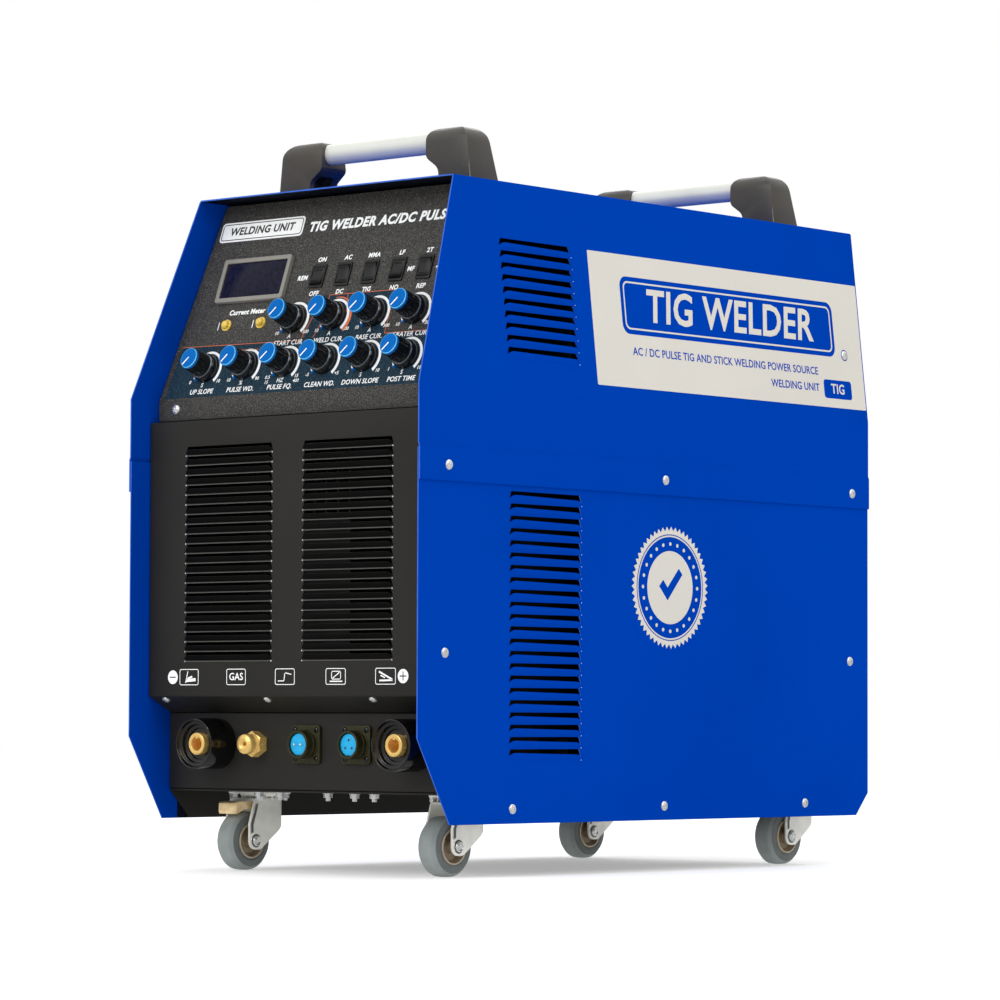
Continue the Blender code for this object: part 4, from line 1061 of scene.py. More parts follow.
class WELDER_OT_knobs(bpy.types.Operator):
    """Ten fluted knobs with blue caps and white pointer lines"""
    bl_idname = "welder.knobs"
    bl_label = "Knobs"

    def knob(self, flutes):
        sides = flutes * 4
        body = [(0.0, 0.0215), (0.0092, 0.0215), (0.0094, 0.0210), (0.0104, 0.0080),
                (0.0104, 0.0066), (0.0, 0.0066)]
        cap = [(0.0, 0.0249), (0.0070, 0.0248), (0.0086, 0.0245), (0.0091, 0.0240),
               (0.0093, 0.0217), (0.0, 0.0217)]
        skirt = [(0.0104, 0.0076), (0.0112, 0.0074), (0.0121, 0.0064), (0.0125, 0.0050),
                 (0.0126, 0.0006), (0.0, 0.0006)]
        ring = [(0.0103, 0.0082), (0.0109, 0.0081), (0.0113, 0.0076), (0.0113, 0.0070),
                (0.0103, 0.0070)]
        grip = [turned(body, sides), turned(cap, sides)]
        for bm in grip:
            for vertex in bm.verts:
                radius = vertex.co.xy.length
                if 0.0088 < radius:
                    angle = math.atan2(vertex.co.y, vertex.co.x)
                    depth = 0.00026 * (1 + math.cos(flutes * angle))
                    vertex.co.xy *= 1 - depth / radius
        # A lighter ring round the cap's chamfer, painted as its rim highlight.
        rim = turned([(0.0085, 0.02465), (0.0089, 0.02450), (0.0091, 0.0240), (0.0089, 0.0236),
                      (0.0085, 0.0236)], 64, closed=True)
        line = block((-0.0008, -0.0005, 0.0246), (0.0078, 0.0005, 0.02502))
        pointer = block((0.0118, -0.0010, 0.0006), (0.0150, 0.0010, 0.0030), edge=0.0004)
        aim = turn(math.radians(POINTER_ANGLE))
        for bm in (line, pointer):
            moved(bm, aim)
        return [(joined([grip[0], turned(skirt, 64)]), "knob_black"),
                (joined([grip[1], pointer]), "knob_blue"), (line, "white_ink"),
                (turned(ring, 64, closed=True), "knob_ring"), (rim, "knob_edge")]

    def execute(self, context):
        master = self.knob(context.scene.welder_controls.flutes)
        for row, (count, x0, s) in KNOB_ROWS.items():
            for k in range(count):
                at = on_panel(x0 + k * KNOB_PITCH, s)
                parts = [(moved(bm.copy(), at), look) for bm, look in master]
                name = f"knob_{row}_{k + 1}"
                put(f"{name}_grip", parts, name, [name], 30)
        for bm, _ in master:
            bm.free()
        return {"FINISHED"}


class WELDER_OT_switches(bpy.types.Operator):
    """Five rocker switches in their bezels"""
    bl_idname = "welder.switches"
    bl_label = "Rocker switches"

    def execute(self, context):
        bezels = []
        for k, (x, tip) in enumerate(SWITCHES):
            at = on_panel(x, SWITCH_S)
            bezels.append(soften(plate([rectangle(0.0158, 0.0212, 0.0010),
                                        rectangle(0.0132, 0.0170, 0.0004)], 0.0016,
                                       at @ shift(z=0.0002)), 0.0004))
            top = [(0.0077 * math.cos(math.pi * j / 12),
                    0.0040 - 0.0017 * math.sin(math.pi * j / 12)) for j in range(13)]
            outline = [(-0.0081, 0.0012), (-0.0078, -0.0016), (0.0078, -0.0016), (0.0081, 0.0012),
                       *top]
            paddle = plate([outline], 0.0124, shift(-0.0062) @ SIDE_YZ)
            paddle = soften(paddle, 0.00035)
            ridge = [block((-0.0045, y - 0.00025, z), (0.0045, y + 0.00025, z + 0.0005),
                           None, 0.0001)
                     for y, z in ((0.0058, 0.0028), (0.0048, 0.0026),
                                  (-0.0058, 0.0028), (-0.0048, 0.0026))]
            rest = at @ shift(z=-0.0006) @ turn(tip * math.radians(ROCKER_TIP), "X")
            rocker = moved(joined([paddle] + ridge), rest)
            name = f"rocker_switch_{k + 1}"
            put(f"{name}_paddle", [(rocker, "matt_black")], name, [name])
        put("switch_bezels", [(joined(bezels), "matt_black")])
        return {"FINISHED"}


class WELDER_OT_vent_panel(bpy.types.Operator):
    """Louvred front panel with its row of signs"""
    bl_idname = "welder.vent_panel"
    bl_label = "Louvred front panel"

    def skin(self):
        back = PORT_Y - 0.0003
        section = [(back, VENT_TOP_Z), (VENT_Y, VENT_TOP_Z, 0.0016), (VENT_Y, VENT_FOOT_Z, 0.0016),
                   (back, PORT_TOP_Z + 0.0003),
                   (PORT_Y + 0.012, PORT_TOP_Z + 0.0003)]
        bm = swept(rounded(section, 5), -HALF_FRONT, HALF_FRONT, "X")
        face_away(bm, (0, 0.2, 0.2))
        tops = [VENT_SLOT_Z - k * VENT_PITCH for k in range(VENT_SLOTS)]
        cut_slots(bm, 0, VENT_COLUMNS, tops, VENT_TALL, VENT_FLARE, 1)
        skin = sheet_metal(bm)
        hoods = []
        for left, right in VENT_COLUMNS:
            one = hood(right - left, VENT_PITCH * 0.88, 0.0026, 0.0026, (0.36, 0.36))
            one.normal_update()
            # The hood faces that do not look forward take the near-black, a painted shade.
            for face in one.faces:
                face.material_index = int(face.normal.y < 0.5)
            hoods.append(copies(one, [on_front(left, VENT_Y, top) for top in tops]))
        return joined([mark_painted_light(skin, (0, 0.2, 0.2), 0.0)] + hoods)

    def edges(self):
        # Painted highlights: a light rod under each louvre and glints at its lower corners.
        lines, ends = [], []
        for left, right in VENT_COLUMNS:
            feet = [on_front(left, VENT_Y - 0.0002, VENT_SLOT_Z - (k + 0.93) * VENT_PITCH)
                    for k in range(VENT_SLOTS)]
            lines.append(copies(lip_highlight_rod(right - left, 0.0010), feet))
            ends.append(copies(corner_glints(right - left, 0.0016, 0.00062), feet))
        return joined(lines), joined(ends)

    def signs(self):
        at = on_front(0, VENT_Y - LABEL_GAP, 0.1202)
        over = at @ shift(z=PRINT)
        white, dark = [], []
        for x, plus in ((-0.1334, False), (0.1293, True)):
            white.append(plate([circle(0.0058, 32, x)], PRINT, at))
            dark.append(strokes([(x - 0.0032, 0), (x + 0.0032, 0)], 0.0009, over))
            if plus:
                dark.append(strokes([(x, -0.0032), (x, 0.0032)], 0.0009, over))
        centres = (-0.1141, -0.0588, -0.0025, 0.0549, 0.1101)
        for x in centres:
            white.append(plate([rectangle(0.0224, 0.0136, 0.0018, x),
                                rectangle(0.0212, 0.0124, 0.0013, x)], PRINT, at))
        torch, gas, trigger, remote, clamp = centres
        white.append(lettering("GAS", 0.0086, at @ shift(gas), 0.012))
        drawings = ((torch, [(-0.004, -0.0045), (-0.0015, 0.0045)], 0.0008),
                    (torch, [(-0.002, -0.0028), (0.0065, -0.0022)], 0.0026),
                    (torch, [(-0.001, -0.0010), (0.0030, 0.0002)], 0.0016),
                    (trigger, [(-0.0075, -0.0035), (-0.0015, -0.0035)], 0.0008),
                    (trigger, [(-0.0010, -0.0030), (0.0, 0.0032), (0.0070, 0.0020)], 0.0008),
                    (remote, [(-0.0060, -0.0040), (0.0070, -0.0040)], 0.0010),
                    (remote, [(-0.0045, -0.0022), (-0.0045, 0.0042), (0.0055, 0.0042),
                              (0.0055, -0.0022), (-0.0045, -0.0022)], 0.0007),
                    (remote, [(-0.0030, -0.0012), (0.0040, 0.0032)], 0.0008),
                    (clamp, [(-0.0065, 0.0035), (0.0070, -0.0025)], 0.0014),
                    (clamp, [(-0.0060, -0.0035), (0.0070, -0.0032)], 0.0014),
                    (clamp, [(-0.0050, 0.0005), (-0.0010, -0.0010)], 0.0010))
        white += [strokes(points, width, at @ shift(x)) for x, points, width in drawings]
        return joined(white), joined(dark)

    def execute(self, context):
        put("vent_panel_skin", [(self.skin(), ("black_enamel", "louvre_black"))],
            stands_for=["vent_panel"], smooth=15)
        lines, ends = self.edges()
        put("vent_panel_edges", [(lines, "louvre_edge"), (ends, "bare_edge")])
        white, dark = self.signs()
        put("vent_panel_signs", [(white, "white_ink"), (dark, "dark_ink")])
        slope = math.atan2(PORT_Y - VENT_Y, VENT_FOOT_Z - PORT_TOP_Z)
        spots = [shift(x, 0.0270, 0.1012) @ turn(slope + math.pi / 2, "X")
                 for x in (-0.146, -0.027, 0.092)]
        put_screws("vent_panel_screws", spots, pan_head(0.0035, 0.0016))
        return {"FINISHED"}


class WELDER_OT_case(bpy.types.Operator):
    """Connector panel, base tray, rear panel and the parts inside"""
    bl_idname = "welder.case"
    bl_label = "Case and inside"

    def execute(self, context):
        section = [(PORT_Y + 0.020, PORT_TOP_Z + 0.007), (PORT_Y + 0.020, PORT_TOP_Z, 0.001),
                   (PORT_Y, PORT_TOP_Z, 0.0016), (PORT_Y, FLOOR_Z + 0.0003, 0.0016),
                   (PORT_Y + 0.020, FLOOR_Z + 0.0003)]
        bm = swept(rounded(section, 5), -HALF_FRONT, HALF_FRONT, "X")
        face_away(bm, (0, 0.2, 0.06))
        put("connector_panel_skin", [(sheet_metal(bm), "black_enamel")],
            stands_for=["connector_panel"], smooth=15)
        for node in ("base_tray", "rear_panel"):
            dress(node, "black_enamel")
        # Two near-black sheets inside the case paint the shade that the parts inside would cast.
        baffle_sheets = [block((side * SHADE_BAFFLE_X - 0.0005, 0.0510, 0.0694),
                        (side * SHADE_BAFFLE_X + 0.0005, 0.2580, 0.3780)) for side in (-1, 1)]
        put("air_guides", [(joined(baffle_sheets), "louvre_black")])
        for node, look in (("heat_sink", "raw_aluminium"), ("transformer", "copper_windings"),
                           ("control_board", "green_board"), ("gas_valve", "brass")):
            dress(node, look)
        nuts = []
        for x in (-0.070, -0.045, 0.010, 0.040, 0.062):
            at = shift(x, 0.062, UNDER_Z) @ turn(math.pi, "X")
            nuts.append(hex_nut(0.0070, 0.0042, at, 0.0018))
            nuts.append(rod(0.0046, 0.0, 0.0006, at, 24))
            nuts.append(rod(0.0020, 0.0, 0.0068, at, 16, 0.0003))
        put("tray_nuts", [(joined(nuts), "bright_zinc")])
        return {"FINISHED"}


class WELDER_OT_sockets(bpy.types.Operator):
    """Output sockets, gas outlet and round connectors"""
    bl_idname = "welder.sockets"
    bl_label = "Front connectors"

    def socket(self, name, x):
        at = on_front(x, PORT_Y, PORT_ROW_Z)
        shell = rounded([(0.0092, 0.0205), (0.0130, 0.0205, 0.0004), (0.0135, 0.0225, 0.0004),
                         (0.0160, 0.0228, 0.0004), (0.0166, 0.0262, 0.0005),
                         (0.0190, 0.0266, 0.0005), (0.0198, 0.0295, 0.0008),
                         (0.0214, 0.0300, 0.0010), (0.0217, 0.0010, 0.0004), (0.0217, 0.0003),
                         (0.0092, 0.0003)], 3)
        collar = turned(rounded([(0.0060, 0.0235), (0.0060, 0.0262, 0.0004),
                                 (0.0094, 0.0262, 0.0009), (0.0094, 0.0190), (0.0060, 0.0190)], 3),
                        56, at, closed=True)
        bore = turned([(0.0, 0.0075), (0.0060, 0.0075), (0.0062, 0.0078), (0.0062, 0.0250),
                       (0.0059, 0.0252), (0.0059, 0.0080), (0.0, 0.0080)], 48, at)
        keyway = block((-0.0013, 0.0044, 0.0078), (0.0013, 0.0068, 0.0257), at, 0.0002)
        put(f"output_socket_{name}_shell", [(turned(shell, 72, at, closed=True), "gloss_black"),
                                            (joined([collar, bore, keyway]), "brass")],
            stands_for=[f"output_socket_{name}"])

    def gas_outlet(self):
        at = on_front(GAS_OUTLET_X, PORT_Y, PORT_ROW_Z)
        profile = rounded([(0.0, 0.0080), (0.0018, 0.0080), (0.0018, 0.0170, 0.0003),
                           (0.0046, 0.0190, 0.0006), (0.0080, 0.0176, 0.0008),
                           (0.0085, 0.0160, 0.0006), (0.0085, 0.0120, 0.0005),
                           (0.0076, 0.0112, 0.0003), (0.0076, 0.0100, 0.0003),
                           (0.0086, 0.0092, 0.0003), (0.0086, 0.0010), (0.0, 0.0010)], 3)
        nose = turned(profile, 56, at)
        put("gas_outlet_nipple", [(joined([nose, hex_nut(0.0190, 0.0086, at)]), "brass")],
            stands_for=["gas_outlet"])

    def round_connector(self, name, x, pins):
        at = on_front(x, PORT_Y, PORT_ROW_Z)
        flange = soften(plate([rectangle(0.032, 0.032, 0.0030)], 0.0025, at @ shift(z=0.0003)),
                        0.0004)
        barrel = rounded([(0.0098, 0.0060), (0.0098, 0.0132, 0.0003), (0.0117, 0.0132, 0.0005),
                          (0.0119, 0.0062), (0.0113, 0.0056), (0.0119, 0.0050), (0.0119, 0.0020),
                          (0.0098, 0.0020)], 3)
        shell = turned(barrel, 56, at, closed=True)
        keys = [block((-0.0009, -0.0100, 0.0070), (0.0009, -0.0086, 0.0126), at, 0.0002)]
        face = turned(rounded([(0.0, 0.0112), (0.0094, 0.0112, 0.0008), (0.0097, 0.0030),
                               (0.0, 0.0030)], 3), 48, at)
        spots = ([(-0.0037, 0.0), (0.0037, 0.0)] if pins == 2
                 else [(0.0, 0.0040), (-0.0036, -0.0026), (0.0036, -0.0026)])
        contacts, rings = [], []
        for u, v in spots:
            here = at @ shift(u, v, 0.0112)
            if pins == 2:
                contacts.append(turned(rounded([(0.0, 0.0024), (0.0010, 0.0024, 0.0006),
                                                (0.0010, 0.0), (0.0, 0.0)], 3), 20, here))
            else:
                contacts.append(turned([(0.0, 0.00012), (0.0010, 0.00012), (0.0010, -0.0004),
                                        (0.0, -0.0004)], 20, here))
            rings.append(turned([(0.0011, 0.00015), (0.0017, 0.00015), (0.0017, -0.0003),
                                 (0.0011, -0.0003)], 24, here, closed=True))
        heads = copies(pan_head(0.0025, 0.0012),
                       [at @ shift(a * 0.0121, b * 0.0121, 0.0028) @ turn(0.4 * a + 0.3 * b)
                        for a in (-1, 1) for b in (-1, 1)])
        parts = [(joined([flange, shell] + keys), "olive_shell"),
                 (joined([face] + rings), "insert_blue"),
                 (joined(contacts), "bright_zinc" if pins == 2 else "dark_ink"),
                 (heads, "gloss_black")]
        put(f"{name}_connector_shell", parts, stands_for=[f"{name}_connector"])

    def execute(self, context):
        for name, x in SOCKETS.items():
            self.socket(name, x)
        self.gas_outlet()
        for name, (x, pins) in ROUND_PLUGS.items():
            self.round_connector(name, x, pins)
        return {"FINISHED"}


class WELDER_OT_handles(bpy.types.Operator):
    """Two lifting handles: moulded brackets and aluminium tubes"""
    bl_idname = "welder.handles"
    bl_label = "Handles"

    def bracket(self, side, front):
        base, top = TOP_Z + 0.0002, TUBE_Z + TUBE_RADIUS + 0.003
        face = [(0.1105, base), (0.1050, top - 0.001, 0.015), (0.0600, top - 0.001, 0.008),
                (0.0600, 0.5585, 0.007), (0.0735, 0.5490, 0.009), (0.0755, base)]
        face = [(side * u, v) for u, v in rounded(face, 7)]
        bm = plate([face], 0.0400, shift(y=front + 0.0400) @ UPRIGHT_XZ)
        arch = [(front, base - 0.001), (front, top, 0.0125), (front + 0.0262, top, 0.0125),
                (front + 0.0375, base - 0.001)]
        bm = combined(bm, plate([rounded(arch, 9)], 0.4, shift(-0.2) @ SIDE_YZ), "INTERSECT")
        pocket = rounded([(front + 0.0055, base + 0.0010, 0.003),
                          (front + 0.0275, base + 0.0010, 0.003), (front + 0.0250, 0.5535, 0.005),
                          (front + 0.0055, 0.5535, 0.005)], 4)
        deep = plate([pocket], 0.0220, shift(0.0650 if side > 0 else -0.0870) @ SIDE_YZ)
        bm = soften(combined(bm, deep), 0.0013, 3, 40)
        # A light rod on the front outer edge, painted as the highlight of the rounded edge.
        foot = Vector((side * 0.11015, front + 0.00035, base))
        head = Vector((side * 0.10633, front + 0.00035, top - 0.0165))
        tilt = (head - foot).to_track_quat("Z", "Y").to_matrix().to_4x4()
        line = rod(0.00045, 0.0, (head - foot).length, Matrix.Translation(foot) @ tilt, 10,
                   top=0.0003)
        mouth = shift(side * 0.0600, front + TUBE_BACK, TUBE_Z) @ turn(side * math.pi / 2, "Y")
        return combined(bm, rod(TUBE_RADIUS + 0.0002, -0.01, 0.0143, mouth, 48)), line

    def execute(self, context):
        for where, front in HANDLES.items():
            for hand, side in (("left", -1), ("right", 1)):
                bracket, line = self.bracket(side, front)
                put(f"handle_grip_{where}_{hand}",
                    [(bracket, "handle_plastic"), (line, "moulding_line")],
                    stands_for=[f"handle_bracket_{where}_{hand}"], smooth=28)
            reach, inner = 0.0740, TUBE_RADIUS - 0.0015
            profile = [(inner, -reach), (TUBE_RADIUS - 0.0004, -reach),
                       (TUBE_RADIUS, -reach + 0.0004), (TUBE_RADIUS, reach - 0.0004),
                       (TUBE_RADIUS - 0.0004, reach), (inner, reach)]
            tube = turned(profile, 64, shift(0.0, front + TUBE_BACK, TUBE_Z) @ ALONG_X, closed=True)
            put(f"handle_bar_{where}", [(tube, "satin_aluminium")],
                stands_for=[f"handle_tube_{where}"])
        return {"FINISHED"}


class WELDER_OT_castors(bpy.types.Operator):
    """Four swivel castors and the foot brake"""
    bl_idname = "welder.castors"
    bl_label = "Castors"

    def plate_parts(self, at):
        top = soften(plate([rectangle(0.0420, 0.0380, 0.0040)], 0.0025, at @ shift(z=-0.0028)),
                     0.0004)
        race = turned(rounded([(0.0, -0.0026), (0.0165, -0.0026), (0.0168, -0.0048, 0.0012),
                               (0.0130, -0.0054, 0.0010), (0.0, -0.0054)], 3), 48, at)
        bolts = []
        for a in (-1, 1):
            for b in (-1, 1):
                spot = at @ shift(a * 0.0165, b * 0.0148, -0.0028) @ turn(math.pi, "X")
                bolts.append(hex_nut(0.0065, 0.0038, spot @ turn(0.3 * a + 0.2 * b), 0.0016))
                bolts.append(rod(0.0018, 0.0, 0.0058, spot, 14, 0.0003))
        balls = []
        for k in range(14):
            ball = bmesh.new()
            bmesh.ops.create_uvsphere(ball, u_segments=10, v_segments=6, radius=0.0014,
                                      matrix=at @ turn(math.tau * k / 14)
                                      @ shift(0.0148, 0, -0.0060))
            balls.append(ball)
        return joined([top, race]), joined(bolts + balls)

    def yoke(self, at):
        outside, inside = 0.0150, 0.0132
        nose, tail = -CASTOR_TRAIL - 0.010, 0.019
        bend = rounded([(-outside, nose), (outside, nose), (outside, tail, 0.0125),
                        (-outside, tail, 0.0125)], 10)
        room = rounded([(-inside, nose - 0.01), (inside, nose - 0.01),
                        (inside, tail - 0.0018, 0.0108), (-inside, tail - 0.0018, 0.0108)], 10)
        crown, low = -0.0066, -AXLE_DROP - 0.0075
        bm = plate([bend], 0.060, shift(z=-0.0660))
        bm = combined(bm, plate([room], 0.060, shift(z=-0.0660 + crown + 0.0042)))
        trim = [(nose + 0.0090, crown), (tail + 0.001, crown), (tail + 0.001, -0.026, 0.006),
                (-CASTOR_TRAIL + 0.006, low, 0.007), (-CASTOR_TRAIL - 0.0075, low, 0.0074),
                (-CASTOR_TRAIL - 0.0078, -0.028, 0.004)]
        bm = combined(bm, plate([rounded(trim, 8)], 0.08, shift(-0.04) @ SIDE_YZ), "INTERSECT")
        bm = soften(bm, 0.0004)
        axle = shift(0, -CASTOR_TRAIL, -AXLE_DROP)
        rib = [(nose + 0.0092, crown - 0.004, 0.001), (nose + 0.0128, crown - 0.004, 0.001),
               (-CASTOR_TRAIL - 0.0032, -0.029, 0.006),
               (-CASTOR_TRAIL - 0.0030, low + 0.0145, 0.001),
               (-CASTOR_TRAIL - 0.0074, low + 0.0125, 0.001),
               (-CASTOR_TRAIL - 0.0074, -0.028, 0.004)]
        extra = [plate([rounded(rib, 5)], 0.0010, shift(x) @ SIDE_YZ)
                 for x in (-outside - 0.0006, outside - 0.0004)]
        extra = [soften(rib_plate, 0.0004) for rib_plate in extra]
        # A dark plate inside each rib, painted as the shade in its groove.
        groove = rounded([(nose + 0.0100, crown - 0.0052, 0.0006),
                          (nose + 0.0120, crown - 0.0052, 0.0006),
                          (-CASTOR_TRAIL - 0.0040, -0.0292, 0.005),
                          (-CASTOR_TRAIL - 0.0038, low + 0.0150, 0.0008),
                          (-CASTOR_TRAIL - 0.0066, low + 0.0138, 0.0008),
                          (-CASTOR_TRAIL - 0.0066, -0.0284, 0.004)], 4)
        groove_shades = [plate([groove], 0.0003, at @ shift(x) @ SIDE_YZ)
                   for x in (-outside - 0.0008, outside + 0.0005)]
        nuts = []
        for side in (-1, 1):
            out = axle @ turn(side * math.pi / 2, "Y") @ shift(z=outside - 0.0003)
            extra.append(turned(rounded([(0.0, 0.0009), (0.0058, 0.0009, 0.0004), (0.0060, 0.0),
                                         (0.0, 0.0)], 3), 36, out))
            nuts.append(turned(rounded([(0.0, 0.0026), (0.0020, 0.0026), (0.0024, 0.0021),
                                        (0.0036, 0.0031, 0.0005), (0.0045, 0.0022, 0.0006),
                                        (0.0046, 0.0006), (0.0, 0.0006)], 3), 32, out))
        # A dark ring on the washer round the nut's foot, painted as the shade between them.
        rings = [turned([(0.0047, 0.0010), (0.0056, 0.0010), (0.0056, 0.0006), (0.0047, 0.0006)],
                        36, at @ axle @ turn(side * math.pi / 2, "Y") @ shift(z=outside - 0.0003),
                        closed=True) for side in (-1, 1)]
        cap = turned(rounded([(0.0, -0.0056), (0.0118, -0.0056, 0.0006), (0.0126, -0.0072),
                              (0.0, -0.0072)], 3), 40)
        bm, shine = joined([bm, cap]), joined(extra + nuts)
        return [(moved(bm, at), "zinc_plate"), (moved(shine, at), "bright_zinc"),
                (joined(rings), "dark_ink"), (joined(groove_shades), "shaded_zinc")]

    def wheel(self, at):
        half = 0.0105
        flank = [(0.0150, half - 0.0012), (0.0172, half - 0.0001, 0.0010),
                 (0.0218, half - 0.0008, 0.0010), (WHEEL_RADIUS - 0.0003, half - 0.0042, 0.0012),
                 (WHEEL_RADIUS, 0.0025, 0.0200)]
        tyre = turned(rounded(flank + [(c[0], -c[1], *c[2:]) for c in reversed(flank)], 5), 72,
                      None, closed=True)
        for face in tyre.faces:
            centre = face.calc_center_median()
            face.material_index = int(centre.xy.length < WHEEL_RADIUS - 0.0020)
        side = rounded([(0.0034, half + 0.0018), (0.0052, half + 0.0018, 0.0004),
                        (0.0060, half - 0.0045, 0.0010), (0.0112, half - 0.0052, 0.0014),
                        (0.0136, half - 0.0008, 0.0005), (0.0140, half - 0.0030)], 4)
        hub = side + [Vector((r, -h)) for r, h in reversed(side)]
        rim = rounded([(0.0136, half - 0.0016), (0.0136, half + 0.0004, 0.0004),
                       (0.0150, half + 0.0004, 0.0005), (0.0152, half - 0.0016)], 4)
        rims = [turned(rim, 64, at @ turn(flip, "X"), closed=True) for flip in (0.0, math.pi)]
        return [(moved(tyre, at), ("grey_tyre", "tyre_wall")),
                (turned(hub, 64, at, closed=True), "hub_bronze"),
                (joined(rims), "rim_bronze")]

    def brake(self):
        side, y = CASTORS["front_left"]
        at = shift(side * CASTOR_X, y - 0.012, UNDER_Z - 0.0125)
        outline = [(0.003, 0.0025, 0.002), (0.003, -0.0035, 0.002), (-0.017, -0.0032),
                   (-0.027, -0.0075, 0.002), (-0.031, -0.0045), (-0.029, 0.0020), (-0.025, 0.0034),
                   (-0.014, 0.0035)]
        bm = plate([rounded(outline, 3)], 0.0205, shift(-0.01025) @ SIDE_YZ)
        for hand in (-1, 1):
            split(bm, (hand * 0.0072, -0.031, 0.0), (hand * 0.80, -0.60, 0.0), clear=True)
            boundary = [e for e in bm.edges if e.is_boundary]
            bmesh.ops.holes_fill(bm, edges=boundary)
        bm = soften(placed(bm, at), 0.0005, 2, 30)
        put("brake_lever", [(bm, "yellow_zinc")], "brake", ["brake_pedal"], 25)

    def execute(self, context):
        for name, (side, y) in CASTORS.items():
            at = shift(side * CASTOR_X, y, UNDER_Z)
            top, bolts = self.plate_parts(at)
            put(f"castor_top_{name}", [(top, "zinc_plate"), (bolts, "bright_zinc")],
                stands_for=[f"castor_plate_{name}"])
            put(f"castor_yoke_{name}", self.yoke(at), f"castor_{name}",
                [f"castor_fork_{name}"])
            axle = at @ shift(0, -CASTOR_TRAIL, -AXLE_DROP) @ ALONG_X
            put(f"castor_tyre_{name}", self.wheel(axle), f"wheel_{name}",
                [f"castor_wheel_{name}"])
        self.brake()
        return {"FINISHED"}


